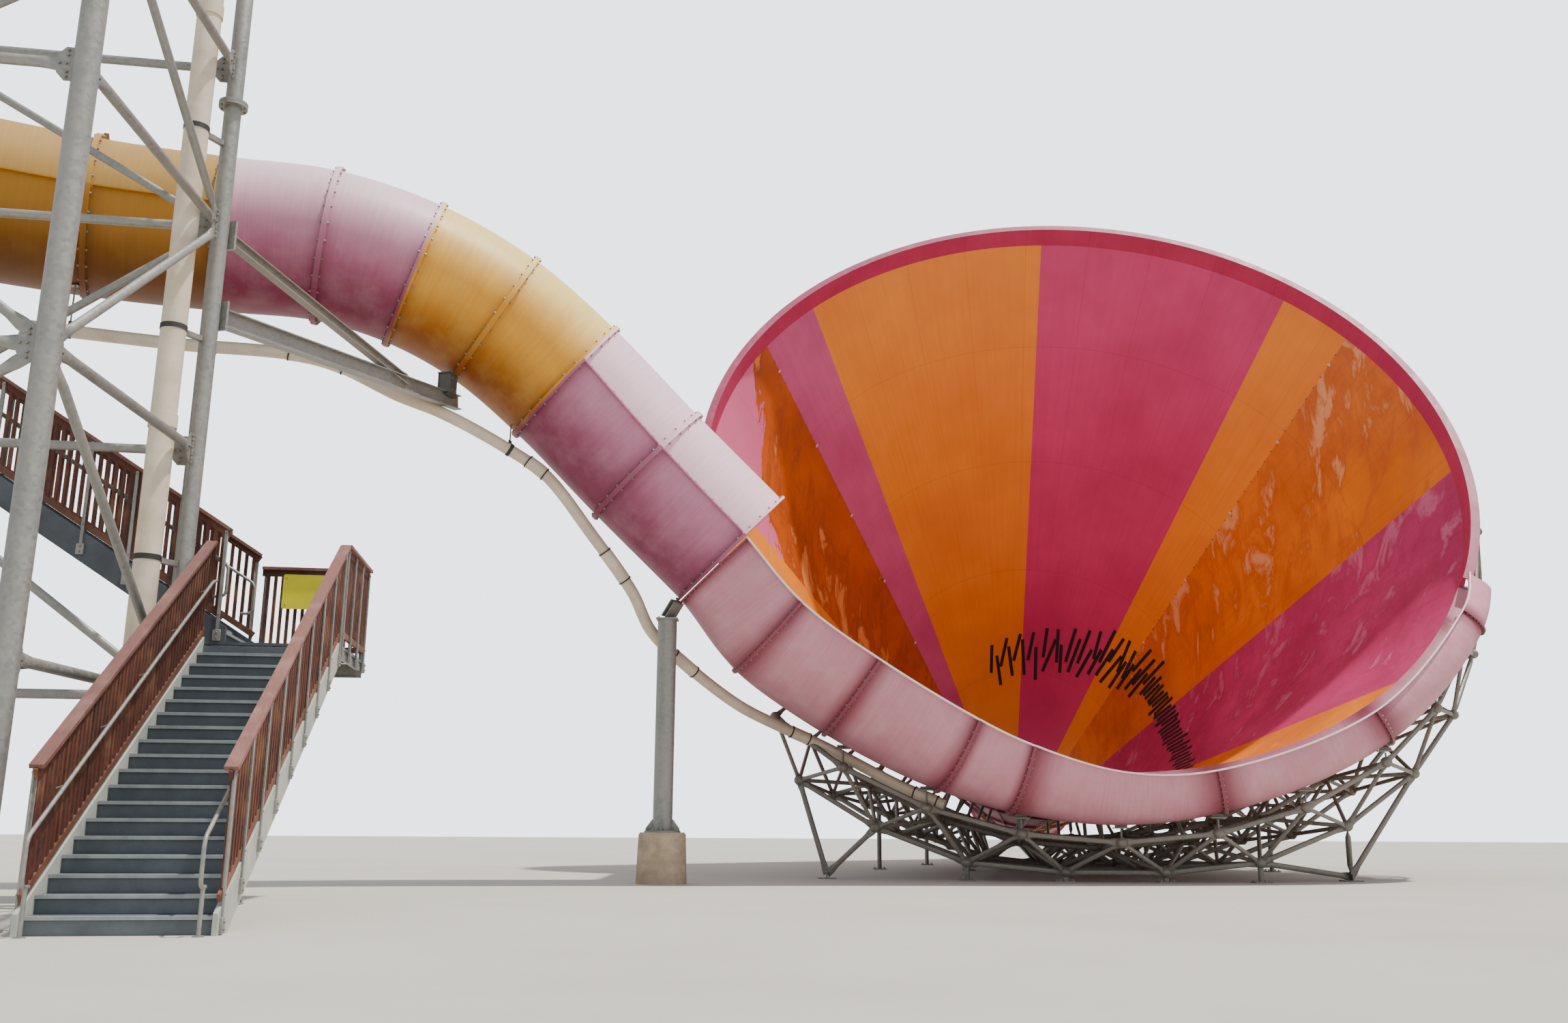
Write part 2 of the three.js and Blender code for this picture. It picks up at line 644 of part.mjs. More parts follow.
// One face of the tower: level and zigzag pipes that end on gusset plates against both legs
function towerFace(nameA, nameB, nodesOnA) {
  const a = legAt[nameA];
  const b = legAt[nameB];
  const lift = (p, z) => new THREE.Vector3(p.x, p.y, z);
  const along = b.clone().sub(a).normalize();
  const turn = Math.atan2(along.y, along.x);
  const solids = [];
  const pipe = (p, q, radius, inset) => {
    const step = q.clone().sub(p).normalize().multiplyScalar(inset);
    solids.push(bar(p.clone().add(step), q.clone().sub(step), radius, 4));
  };
  BRACE_LEVELS.forEach((z, i) => {
    pipe(lift(a, z), lift(b, z), BRACE_R, LEVEL_INSET);
    for (const [leg, sign] of [[a, 1], [b, -1]]) {
      const centre = leg.clone().addScaledVector(along, sign * GUSSET / 2);
      solids.push(block([centre.x, centre.y, z], [GUSSET, GUSSET_THICK, GUSSET * 1.5], turn));
    }
    if (i + 1 < BRACE_LEVELS.length) {
      const startsOnA = (i % 2 === 0) === nodesOnA;
      const [low, high] = startsOnA ? [a, b] : [b, a];
      pipe(lift(low, z), lift(high, BRACE_LEVELS[i + 1]), DIAGONAL_R, DIAGONAL_INSET);
    }
  });
  return fuse(solids).subtract(legRoom(nameA)).subtract(legRoom(nameB));
}

addMesh(site, 'tower_bracing_right', towerFace('front_right', 'back_right', false), galvanised);
addMesh(site, 'tower_bracing_back', towerFace('back_left', 'back_right', false), galvanised);
addMesh(site, 'tower_bracing_left', towerFace('front_left', 'back_left', true), galvanised);
addMesh(site, 'tower_bracing_front', towerFace('front_right', 'front_left', false), galvanised);

// Cantilever bracket: a beam and a tie from a tower leg to a saddle under the tube
const STUB_DROP = 400;
const BEAM_PAST_SADDLE = 230;
const STUB_BACK = 170;
const STUB_WIDTH = 300;
const KNEE = 0.73;
const LEFT_SADDLE = [-13450, 20500, 9810];

function bracket(name, leg, beamZ, tieZ, saddle) {
  const heading = saddle.clone().sub(leg).setZ(0).normalize();
  const root = leg.clone().addScaledVector(heading, LEG_BACK_R + 20 + GAP);
  const onLeg = (z) => new THREE.Vector3(root.x, root.y, z);
  const end = saddle.clone().addScaledVector(heading, BEAM_PAST_SADDLE).setZ(saddle.z - STUB_DROP);
  const start = onLeg(beamZ);
  const turn = Math.atan2(heading.y, heading.x);
  const plate = (z) => block([root.x, root.y, z], [40, 320, 420], turn);
  const knee = mix(start, end, KNEE);
  const stub = saddle.clone().addScaledVector(heading, -STUB_BACK);
  addMesh(site, name, fuse([
    beam(start, end, 150, 260),
    beam(onLeg(tieZ), knee, 130, 150),
    plate(beamZ),
    plate(tieZ),
    block([stub.x, stub.y, saddle.z - STUB_DROP / 2 + 60], [STUB_WIDTH, 260, STUB_DROP + 120], turn),
  ]).subtract(tubeClearance), galvanised);
}

bracket('flume_bracket_right', legAt.back_right, 7810, 9000, flangeBottom(5));
bracket('flume_bracket_left', legAt.back_left, 8600, 9800, vec(LEFT_SADDLE));

// Pipes: the riser beside the tower, and the supply pipe hung under the flume
function pipeAlong(points, radius, steps) {
  const path = new THREE.CatmullRomCurve3(points, false, 'centripetal');
  const shape = new THREE.Shape();
  shape.absarc(0, 0, radius, 0, 2 * Math.PI, false);
  return toSolid(new THREE.ExtrudeGeometry(shape, {
    extrudePath: path, steps, curveSegments: 4, bevelEnabled: false,
  }));
}

const RISER_PIPE_AT = [-8090, 16790];
const RISER_PIPE_R = 162;
const STAND_OFF_LEVELS = [4300, 7400, 10300, 13000];
const backRight = legAt.back_right;
const backLegRoom = legRoom('back_right');
addMesh(site, 'riser_pipe', fuse([
  drum(RISER_PIPE_AT, 0, TOWER_TOP - 400, RISER_PIPE_R, RISER_PIPE_R, 12),
  drum(RISER_PIPE_AT, 0, 40, RISER_PIPE_R + 90, RISER_PIPE_R + 90, 12),
  ...STAND_OFF_LEVELS.map((z) => beam(
    new THREE.Vector3(...RISER_PIPE_AT, z), new THREE.Vector3(backRight.x, backRight.y, z), 70, 70)),
]).subtract(backLegRoom), cream);

const SUPPLY_PIPE_R = 110;
const SUPPLY_PIPE = [
  [-12600, 20900, 8990], [-10500, 21700, 8990], [-8200, 22500, 8990], [-6900, 22950, 8480],
  [-6150, 23200, 8230], [-5050, 23900, 7740], [-4400, 24100, 7310], [-3600, 24500, 6320],
  [-2850, 24950, 5300], [-2500, 25350, 4600], [-1900, 25750, 4050], [-920, 26500, 3353],
  [-100, 27300, 2990], [612, 27600, 2700], [1131, 27600, 2450], [2278, 27200, 1835],
  [3171, 26950, 1440],
];
const PIPE_HANGERS = [[-12000, 21133, 8990], [-9760, 21970, 8990], [-5050, 23900, 7740]];
const HANGER_ROD_R = 25;
const supplyParts = [pipeAlong(SUPPLY_PIPE.map(vec), SUPPLY_PIPE_R, 24)];
for (const place of PIPE_HANGERS) {
  const low = vec(place);
  const high = low.clone().add(new THREE.Vector3(0, 0, 1500));
  supplyParts.push(bar(low, high, HANGER_ROD_R, 4));
}
addMesh(site, 'supply_pipe', largest(fuse(supplyParts).subtract(tubeClearance)), cream);

// Stair: flights, landings and guards in a frame of their own
const stair = new THREE.Group();
const stairTurn = Math.atan2(STAIR_DIRECTION[1], STAIR_DIRECTION[0]) - Math.PI / 2;
stair.position.set(STAIR_FOOT[0], STAIR_FOOT[1], 0);
stair.rotation.z = stairTurn;
site.add(stair);

const FLIGHT_RUN = (RISERS - 1) * TREAD;
const FLIGHT_RISE = RISERS * RISER;
const STEP_THICK = 60;
const STRINGER_DEPTH = 300;
const STRINGER_THICK = 50;

// One flight of closed steps and two stringers: it climbs along +Y from the origin, its left side
// at x = 0
function flightSolid() {
  const outline = [[0, 0]];
  for (let i = 0; i < RISERS - 1; i += 1) {
    outline.push([i * TREAD, (i + 1) * RISER], [(i + 1) * TREAD, (i + 1) * RISER]);
  }
  outline.push([FLIGHT_RUN, (RISERS - 1) * RISER - STEP_THICK - 60], [STEP_THICK + 90, 0]);
  const sideOutline = [
    [-60, 0], [-60, RISER + 60 - 60 * RISER / TREAD],
    [FLIGHT_RUN, FLIGHT_RISE + 60], [FLIGHT_RUN, FLIGHT_RISE - STRINGER_DEPTH],
    [STRINGER_DEPTH, 0],
  ];
  const side = (x) => standingPlate(sideOutline, STRINGER_THICK).translate([x, 0, 0]);
  return fuse([standingPlate(outline, STAIR_WIDTH), side(-STRINGER_THICK + 5), side(STAIR_WIDTH - 5)]);
}

const PICKET_WIDTH = 60;
const PICKET_THICK = 40;
const PICKET_SPACING = 1000;
const CAP_WIDTH = 140;
const CAP_THICK = 45;
const RAIL_LOW = 110;

// A plate in the plane x = 0 from an outline of [y, z] corners, grown towards +X
function standingPlate(corners, thickness) {
  const shape = new THREE.Shape(corners.map(([y, z]) => new THREE.Vector2(y, z)));
  const geometry = new THREE.ExtrudeGeometry(shape, { depth: thickness, bevelEnabled: false });
  geometry.rotateX(Math.PI / 2);
  geometry.rotateZ(Math.PI / 2);
  return toSolid(geometry);
}

// A guard panel in the plane x = 0, climbing by a rise over a run along +Y, its pickets from foot up
function guardSolid(run, rise, foot) {
  const slope = rise / run;
  const strip = (y0, y1, low, high, thickness) => standingPlate([
    [y0, y0 * slope + low], [y1, y1 * slope + low], [y1, y1 * slope + high], [y0, y0 * slope + high],
  ], thickness);
  const solids = [
    strip(0, run, RAIL_LOW, RAIL_LOW + 90, PICKET_THICK),
    strip(0, run, GUARD_HEIGHT - 95, GUARD_HEIGHT + 5, PICKET_THICK),
    strip(0, run, GUARD_HEIGHT, GUARD_HEIGHT + CAP_THICK, CAP_WIDTH)
      .translate([(PICKET_THICK - CAP_WIDTH) / 2, 0, 0]),
  ];
  const count = Math.max(1, Math.round(run / PICKET_SPACING));
  const pitch = (run - PICKET_WIDTH) / count;
  for (let i = 0; i <= count; i += 1) {
    solids.push(strip(i * pitch, i * pitch + PICKET_WIDTH, foot, GUARD_HEIGHT, PICKET_THICK));
  }
  return fuse(solids);
}

function placed(parent, position, turn) {
  const group = new THREE.Group();
  group.position.set(...position);
  group.rotation.z = turn;
  parent.add(group);
  return group;
}

const QUARTER = Math.PI / 2;
const SEAT_ON_LANDING = 200;
const TIE_R = 30;
const STRINGER_LIFT = 60 + GAP;

function addFlight(parent, number) {
  addMesh(parent, `stair_flight_${number}`, flightSolid(), stepGrey);
  for (const [side, x] of [['left', -PICKET_THICK], ['right', STAIR_WIDTH]]) {
    const stand = placed(parent, [x, 0, RISER], 0);
    addMesh(stand, `guard_flight_${number}_${side}`,
      guardSolid(FLIGHT_RUN - 10, RISER / TREAD * (FLIGHT_RUN - 10), STRINGER_LIFT), guardWood);
  }
}

// Landing deck with its edge beams and its posts down to the ground
function landingSolid(topZ, postR, postPlaces) {
  const w = STAIR_WIDTH + 100;
  const solids = [
    block([STAIR_WIDTH / 2, LANDING_DEPTH / 2, topZ - 30], [w, LANDING_DEPTH, 60]),
    block([STAIR_WIDTH / 2, 60, topZ - 150], [w, 80, 200]),
    block([STAIR_WIDTH / 2, LANDING_DEPTH - 60, topZ - 150], [w, 80, 200]),
  ];
  for (const [x, y] of postPlaces) {
    solids.push(drum([x, y], 0, topZ - 100, postR, postR, 8));
    solids.push(block([x, y, 10], [260, 260, 20]));
  }
  return fuse(solids);
}

// Guards on the named sides of a landing, joined at their corners
function landingGuards(sides, backRun) {
  const inset = 10;
  const spans = {
    right: [[STAIR_WIDTH + 50 - PICKET_THICK, inset], 0, LANDING_DEPTH - 2 * inset],
    left: [[-50, inset], 0, LANDING_DEPTH - 2 * inset],
    back: [[STAIR_WIDTH + 50, LANDING_DEPTH - inset - PICKET_THICK], QUARTER, backRun],
  };
  return fuse(sides.map((name) => {
    const [[x, y], turn, run] = spans[name];
    const place = new THREE.Matrix4().makeRotationZ(turn).setPosition(x, y, 0);
    return guardSolid(run, 0, GAP).transform(place.elements);
  }));
}

// Places for a landing's posts: the lower landing overhangs to the right, the upper one stands on four
const POST_INSET = 80;
const POST_NEAR = 90;
const POST_FAR = LANDING_DEPTH - 90;
const LOWER_POST_RIGHT = 640;
const LOWER_POSTS = [
  [POST_INSET, POST_NEAR], [LOWER_POST_RIGHT, POST_NEAR], [POST_INSET, POST_FAR],
];
const UPPER_POSTS = [
  [POST_INSET, POST_NEAR], [STAIR_WIDTH - POST_INSET, POST_NEAR],
  [POST_INSET, POST_FAR], [STAIR_WIDTH - POST_INSET, POST_FAR],
];

addFlight(stair, 1);
const landingOne = placed(stair, [0, FLIGHT_RUN + GAP, 0], 0);
landingOne.updateWorldMatrix(true, false);
const tieZ = FLIGHT_RISE - 33;
const legTie = bar(new THREE.Vector3(-40, 200, tieZ),
  landingOne.worldToLocal(backRight.clone()).setZ(tieZ), TIE_R, 6);
const tieEnd = backLegRoom.transform(landingOne.matrixWorld.clone().invert().elements);
addMesh(landingOne, 'stair_landing_1',
  landingSolid(FLIGHT_RISE, 60, LOWER_POSTS).add(legTie.subtract(tieEnd)), galvanised);
const guardsOne = landingGuards(['right', 'back'], STAIR_WIDTH - SEAT_ON_LANDING - 60);
addMesh(placed(landingOne, [0, 0, FLIGHT_RISE], 0), 'guard_landing_1', guardsOne, guardWood);

const flightTwo = placed(stair, [SEAT_ON_LANDING, FLIGHT_RUN + 60, FLIGHT_RISE + GAP], QUARTER);
addFlight(flightTwo, 2);
const topZ = 2 * FLIGHT_RISE + GAP;
const landingTwo = placed(stair, [SEAT_ON_LANDING - FLIGHT_RUN - GAP, FLIGHT_RUN + 60, 0], QUARTER);
addMesh(landingTwo, 'stair_landing_2', landingSolid(topZ, 75, UPPER_POSTS), galvanised);
const guardsTwo = landingGuards(['left', 'back', 'right'], STAIR_WIDTH + 100);
addMesh(placed(landingTwo, [0, 0, topZ], 0), 'guard_landing_2', guardsTwo, guardWood);

// Space frame that carries the lower half of the funnel and the channel: two layers of pipes in
// square bays under the rim, and arches on posts under the rest of the cone
const FRAME_MIDDLE = 268.2;
const FRAME_BAY = 10;
const FRAME_BAY_WIDER = 1.65;
const FRAME_FIRST = -3;
const FRAME_LAST = 7;
const FRAME_ROW_STEP = 2000;
const FRAME_CHORD_R = 52;
const FRAME_WEB_R = 42;
const FRAME_LOWEST = 180;
const REAR_ROWS = [[6100, 900], [10100, 800], [13600, 600]];
const REAR_STATIONS = [-4, -2, 0, 2, 4, 6];
const FRAME_SPLITS = [245.7, 291.1];
const FRAME_FEET = [[900, 28000], [11400, 27900]];
const PAD_REACH = 1300;
const HUB = 210;

const frameAngle = (k) => FRAME_MIDDLE + FRAME_BAY * k + FRAME_BAY_WIDER * Math.max(0, k - 2);
const frontDepth = (angle) => 50 + 700 * THREE.MathUtils.smoothstep(angle, 290, 335);

// 1 at the middle angle, falling to 0 a quarter turn away
function bulge(angle, middle) {
  const away = Math.min(Math.abs(angle - middle), 90);
  return Math.cos(THREE.MathUtils.degToRad(away)) ** 2;
}

function upperNode(k) {
  const angle = frameAngle(k);
  return funnelPoint(angle, 9650 + 1050 * bulge(angle, 256), frontDepth(angle));
}

function secondNode(k) {
  const angle = frameAngle(k);
  return funnelPoint(angle, 8700 + 1050 * bulge(angle, 256), frontDepth(angle) + FRAME_ROW_STEP);
}

function lowerNode(k) {
  const angle = (frameAngle(k) + frameAngle(k + 1)) / 2;
  const node = funnelPoint(angle, 10000 + 1100 * bulge(angle, 254), frontDepth(angle) + FRAME_ROW_STEP / 2);
  node.z = Math.max(node.z, FRAME_LOWEST);
  return node;
}

function rearNode(k, [depth, clear]) {
  return funnelPoint(frameAngle(k), outerRadius(depth) + clear, depth);
}

function onShell(k, depth) {
  return funnelPoint(frameAngle(k), outerRadius(depth) - 60, depth);
}

// The height of the channel's underside above a point, or null where there is no channel near
function undersideAbove(point) {
  const probe = bar(point, point.clone().add(new THREE.Vector3(0, 0, PAD_REACH)), 10, 3);
  const hit = probe.intersect(channelClearance);
  return hit.isEmpty() ? null : hit.boundingBox().min[2];
}

function post(at, height) {
  return fuse([
    drum([at.x, at.y], 0, height, 55, 55, 5),
    block([at.x, at.y, 10], [320, 320, 20]),
  ]);
}

function frontFrame() {
  const solids = [];
  const hub = (at) => solids.push(block(at.toArray(), [HUB, HUB, HUB]));
  const chord = (p, q) => solids.push(bar(p, q, FRAME_CHORD_R, 3));
  const web = (p, q) => solids.push(bar(p, q, FRAME_WEB_R, 3));
  for (let k = FRAME_FIRST; k <= FRAME_LAST; k += 1) {
    const node = upperNode(k);
    hub(node);
    for (const j of [k - 1, k]) if (j < FRAME_LAST) web(node, lowerNode(j));
    if (k < FRAME_LAST) chord(node, upperNode(k + 1));
    const top = undersideAbove(node);
    if (top === null) {
      web(node, onShell(k, BAND_DEPTH + FLANGE_WIDTH / 2));
    } else {
      solids.push(bar(node, node.clone().setZ(top + 10), 20, 4));
      solids.push(block([node.x, node.y, top], [300, 160, 180]));
    }
  }
  for (let k = FRAME_FIRST - 1; k < FRAME_LAST; k += 1) {
    const low = lowerNode(k);
    hub(low);
    if (k + 1 < FRAME_LAST) chord(low, lowerNode(k + 1));
    if (k >= -2 && k <= 1) solids.push(post(low, low.z));
  }
  REAR_STATIONS.forEach((k, i) => {
    const second = secondNode(k);
    hub(second);
    web(upperNode(Math.max(k, FRAME_FIRST)), second);
    web(second, onShell(k, frontDepth(frameAngle(k)) + FRAME_ROW_STEP));
    for (const j of [k - 1, k]) if (j >= FRAME_FIRST - 1) web(second, lowerNode(j));
    if (i + 1 < REAR_STATIONS.length) chord(second, secondNode(REAR_STATIONS[i + 1]));
  });
  FRAME_FEET.forEach(([x, y], side) => {
    const foot = new THREE.Vector3(x, y, 60);
    const carried = side === 0 ? [-4, -3] : [1, 2, 3];
    for (const k of carried) solids.push(bar(lowerNode(k), foot, 55, 4));
    solids.push(block([x, y, 60], [360, 360, 120]));
  });
  return solids;
}

function rearFrame() {
  const solids = [];
  const link = (p, q) => solids.push(bar(p, q, FRAME_CHORD_R, 3));
  REAR_STATIONS.forEach((k, i) => {
    let ahead = secondNode(k);
    for (const row of REAR_ROWS) {
      const node = rearNode(k, row);
      solids.push(block(node.toArray(), [HUB, HUB, HUB]));
      link(ahead, node);
      link(node, onShell(k, row[0]));
      if (i + 1 < REAR_STATIONS.length) link(node, rearNode(REAR_STATIONS[i + 1], row));
      if (Math.abs(k) <= 4) solids.push(post(node, node.z));
      ahead = node;
    }
  });
  return solids;
}

// The funnel's outside with a clearance all round, to end the frame's struts on it
function funnelClearance() {
  const lip = RIM_OUTER_R + GAP;
  const flange = (depth) => outerRadius(depth) + FLANGE_RISE + GAP;
  const body = ring([
    [0, -100],
    [lip, -100],
    [lip, 30 + GAP],
    [flange(0), 30 + GAP],
    [flange(0), BAND_DEPTH + FLANGE_WIDTH + GAP],
    [outerRadius(BAND_DEPTH + FLANGE_WIDTH) + GAP, BAND_DEPTH + FLANGE_WIDTH + GAP],
    [outerRadius(EXIT_DEPTH - FLANGE_WIDTH) + GAP, EXIT_DEPTH - FLANGE_WIDTH - GAP],
    [flange(EXIT_DEPTH), EXIT_DEPTH - FLANGE_WIDTH - GAP],
    [flange(EXIT_DEPTH), EXIT_DEPTH + 200],
    [0, EXIT_DEPTH + 200],
  ]);
  const grown = seamPlate.map(([r, depth]) => [r + (r > outerRadius(depth) ? GAP : 0), depth]);
  const seams = PANEL_SEAMS.map((angle) => radialPlate(angle, grown, 2 * (FLANGE_WIDTH + GAP)));
  return fuse([body, ...seams]).transform(funnelFrame.elements);
}

const wholeFrame = fuse([...frontFrame(), ...rearFrame()])
  .subtract(funnelClearance()).subtract(channelClearance);
const frameParts = [
  ['space_frame_left', 150, FRAME_SPLITS[0]],
  ['space_frame_centre', FRAME_SPLITS[0], FRAME_SPLITS[1]],
  ['space_frame_right', FRAME_SPLITS[1], 370],
];
for (const [name, start, end] of frameParts) {
  const piece = wholeFrame.intersect(wedge(start, end).transform(funnelFrame.elements));
  addMesh(site, name, largest(piece), galvanised);
}

// The origin goes to the bottom centre of the whole ride
const extent = new THREE.Box3().setFromObject(site, true);
const middle = extent.getCenter(new THREE.Vector3());
site.position.set(-middle.x, -middle.y, -extent.min.z);

export default site;
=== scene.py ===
# %% [markdown]
# # A funnel water slide
# A rider leaves the tower through a closed fibreglass tube, slides round an open channel along the
# lower rim of a giant cone, and swings up and down its walls. Every solid already has its place in
# the CAD frame. This lesson dresses them: smooth shells, ribs, bolts, boards and weathered finishes.

# %% Load the frame
import math

import bmesh
import bpy
import numpy as np
from mathutils import Matrix, Vector
from mathutils.geometry import tessellate_polygon


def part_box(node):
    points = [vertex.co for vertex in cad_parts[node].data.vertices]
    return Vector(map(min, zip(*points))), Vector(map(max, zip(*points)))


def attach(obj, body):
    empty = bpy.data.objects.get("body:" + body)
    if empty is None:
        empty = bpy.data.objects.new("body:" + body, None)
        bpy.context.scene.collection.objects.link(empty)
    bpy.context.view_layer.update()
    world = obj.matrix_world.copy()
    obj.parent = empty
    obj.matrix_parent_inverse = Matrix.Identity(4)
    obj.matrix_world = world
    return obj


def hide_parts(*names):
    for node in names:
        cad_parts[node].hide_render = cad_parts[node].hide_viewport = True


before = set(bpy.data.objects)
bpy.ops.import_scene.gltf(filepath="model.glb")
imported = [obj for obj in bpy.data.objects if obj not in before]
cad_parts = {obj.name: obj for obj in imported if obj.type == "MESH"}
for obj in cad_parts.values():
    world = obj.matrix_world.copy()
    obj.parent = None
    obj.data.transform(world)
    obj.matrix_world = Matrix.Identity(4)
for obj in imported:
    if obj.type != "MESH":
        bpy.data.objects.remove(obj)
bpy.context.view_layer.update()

# %% [markdown]
# The ride was surveyed from the viewer's feet, so its sizes read best in that site frame: X to the
# right, Y away from the viewer, Z up, in metres. One shift takes a site point to the CAD frame, and
# the round pedestal, whose place is known in both, gives it.

# %% Site frame
low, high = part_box("column_pedestal")
COLUMN = np.array([-2.17, 25.0, 0.0])
SHIFT = np.array([(low.x + high.x) / 2, (low.y + high.y) / 2, 0.0]) - COLUMN
EAST, NORTH, UP = np.eye(3)
rng = np.random.default_rng(7)
print("shift from site to CAD frame:", SHIFT.round(3))

# %% [markdown]
# A surface is a grid of points, and a piece is a list of such surfaces. Working on whole arrays
# keeps thousands of bars and bolts quick. Each part carries a "place" at every point, three values
# that its finish reads: how far along it is, how far across or round it is, and a tone of its own.

# %% Parts as arrays
def unit(v):
    """Vectors divided by their own lengths."""
    return v / np.linalg.norm(v, axis=-1, keepdims=True)


def tones(count, tone):
    """A tone for each of the parts: the given one, or one drawn at random."""
    return rng.random(count) if tone is None else np.full(count, tone)


def part(points, quads, triangles, material, place):
    """One part: points [..., 3] with the quads and triangles that index them. The three values of
    the place are spread over the points."""
    place = np.stack([np.broadcast_to(value, points.shape[:-1]) for value in place], -1)
    return {"points": points.reshape(-1, 3), "quads": quads.reshape(-1, 4), "material": material,
            "triangles": np.array(triangles, int).reshape(-1, 3), "place": place.reshape(-1, 3)}


def quads_between(count, steps, closed=False):
    """Quads over loops of points: (i, j), (i, j + 1), (i + 1, j + 1), (i + 1, j)."""
    i, j = np.meshgrid(np.arange(count if closed else count - 1), np.arange(steps), indexing="ij")
    ahead, after = (i + 1) % count * steps, (j + 1) % steps
    return np.stack([i * steps + j, i * steps + after, ahead + after, ahead + j], -1).reshape(-1, 4)


def skin(rows, place=(0, 0, 0.5), material=0, closed=False):
    """A closed skin over rows of loops [row, step, xyz]. The last row joins the first, or both end
    loops are capped with triangles."""
    count, steps = rows.shape[:2]
    caps = []
    for start in () if closed else (0, count - 1):
        loop = [Vector(p) for p in rows[start]]
        caps += [[start * steps + k for k in corners] for corners in tessellate_polygon([loop])]
    return part(rows, quads_between(count, steps, closed), caps, material, place)


def ring(side, top, sides, start=0.0):
    """Points round a unit circle, cos a · side + sin a · top, for one or many pairs of vectors."""
    turn = (start + 2 * np.pi * np.arange(sides) / sides)[:, None]
    return np.cos(turn) * side[..., None, :] + np.sin(turn) * top[..., None, :]


def bars(start, end, radius, sides=8, material=0, tone=None, pressed=False):
    """Round bars, all worked out at once: rings centre + r (thin cos a · side + wide sin a · top),
    joined by quads and closed by fans. Only pressed ends are wide one way and thin the other."""
    start, end = np.atleast_2d(start, end)
    axis, length = unit(end - start), np.linalg.norm(end - start, axis=1)[:, None]
    steep = np.abs(axis[:, 2:]) > (0.95 if pressed else 0.9)
    side = unit(np.cross(np.where(steep, EAST, UP), axis))
    top = np.cross(axis, side)
    reach = np.array([0, 2.2, 5.0]) * radius if pressed else np.zeros(1)
    along = np.concatenate([0 * length + reach, length - reach[::-1]], 1)
    press = np.array([1, 1, 0, 0, 1, 1]) if pressed else np.zeros(2)
    turn = 2 * np.pi * np.arange(sides) / sides
    x = np.outer(1 - 0.8 * press, np.cos(turn))[..., None] * side[:, None, None]
    y = np.outer(1 + 0.45 * press, np.sin(turn))[..., None] * top[:, None, None]
    points = start[:, None, None] + along[..., None, None] * axis[:, None, None] + radius * (x + y)
    count = len(press)
    first = (np.arange(len(start)) * count * sides)[:, None, None]
    k = np.arange(1, sides - 1)
    fan = np.stack([0 * k, k, k + 1], -1)
    fans = first + np.concatenate([fan, fan + (count - 1) * sides])
    place = (0, 0, tones(len(start), tone)[:, None, None])
    return part(points, first + quads_between(count, sides), fans, material, place)


BOX_CORNERS = np.array([[x, y, z] for x in (-1, 1) for y in (-1, 1) for z in (-1, 1)], float)
BOX_QUADS = np.array([[0, 1, 3, 2], [4, 6, 7, 5], [0, 4, 5, 1], [2, 3, 7, 6], [0, 2, 6, 4], [1, 5, 7, 3]])


def boxes(centre, u, v, w, material=0, tone=None):
    """Boxes from their centres and three half edges: corner = centre ± u ± v ± w. The place is the
    distance along u, the distance along v, and the tone."""
    centre, u, v, w = np.broadcast_arrays(*np.atleast_2d(centre, u, v, w))
    edges = np.stack([u, v, w], 1)
    points = centre[:, None] + np.einsum("ck,nkx->ncx", BOX_CORNERS, edges)
    along, across = BOX_CORNERS.T[:2, None] * np.linalg.norm(edges, axis=-1).T[:2, :, None]
    quads = (np.arange(len(centre)) * 8)[:, None, None] + BOX_QUADS
    return part(points, quads, (), material, (along, across, tones(len(centre), tone)[:, None]))


def blocks(centre, x, y, z, material=0, tone=None):
    """Boxes that stand square to the site, from their half sizes."""
    return boxes(centre, *np.diag([x, y, z]), material, tone)


def plank(start, end, width, thick, flat, material=0, tone=None):
    """A board from start to end, its width along the part of `flat` that is square to its run."""
    start, end, flat = np.atleast_2d(start, end, flat)
    axis = unit(end - start)
    across = unit(flat - np.sum(flat * axis, -1, keepdims=True) * axis)
    face = np.cross(axis, across)
    return boxes((start + end) / 2, (end - start) / 2, across * width / 2, face * thick / 2, material, tone)


def prism(outline, thickness, material=0):
    """A flat plate: its outline moved by half the thickness both ways along its own normal."""
    outline = np.asarray(outline, float)
    half = unit(np.cross(outline[1] - outline[0], outline[2] - outline[0])) * thickness / 2
    return skin(np.stack([outline - half, outline + half]), material=material)


def pipe(path, radius, sides, material=0):
    """A round pipe along a path. Its rings lie square to the path: their side is the tangent crossed
    with the one direction that the path keeps most clear of, its last singular vector."""
    tangent = unit(np.gradient(path, axis=0))
    side = unit(np.cross(np.linalg.svd(tangent)[2][-1], tangent))
    return skin(path[:, None] + radius * ring(side, np.cross(tangent, side), sides), material=material)


def rounded(corners, radius, steps):
    """A path through the corners with each inner one turned into an arc: a quadratic curve
    between the two points that lie a radius before and after it."""
    corners = np.asarray(corners, float)
    path = [corners[0]]
    t = np.linspace(0, 1, steps)[:, None]
    for before, corner, after in zip(corners, corners[1:], corners[2:]):
        p, q = (corner + unit(other - corner) * radius for other in (before, after))
        path += list((1 - t) ** 2 * p + 2 * t * (1 - t) * corner + t ** 2 * q)
    return np.array(path + [corners[-1]])


def turned(points, normals, profile, sides=24, material=0, tone=0.5):
    """Turned pieces, such as flanges: the closed profile [radius, height] spun about each normal."""
    radius, height = np.array(profile, float).T[..., None]
    parts = []
    for point, normal in zip(*np.broadcast_arrays(*np.atleast_2d(points, unit(normals)))):
        side = unit(np.cross(normal, EAST if abs(normal[0]) < 0.9 else NORTH))
        rows = point + radius * ring(side, np.cross(normal, side), sides)[:, None] + height * normal
        parts.append(skin(rows, (0, 0, tone), material, closed=True))
    return parts


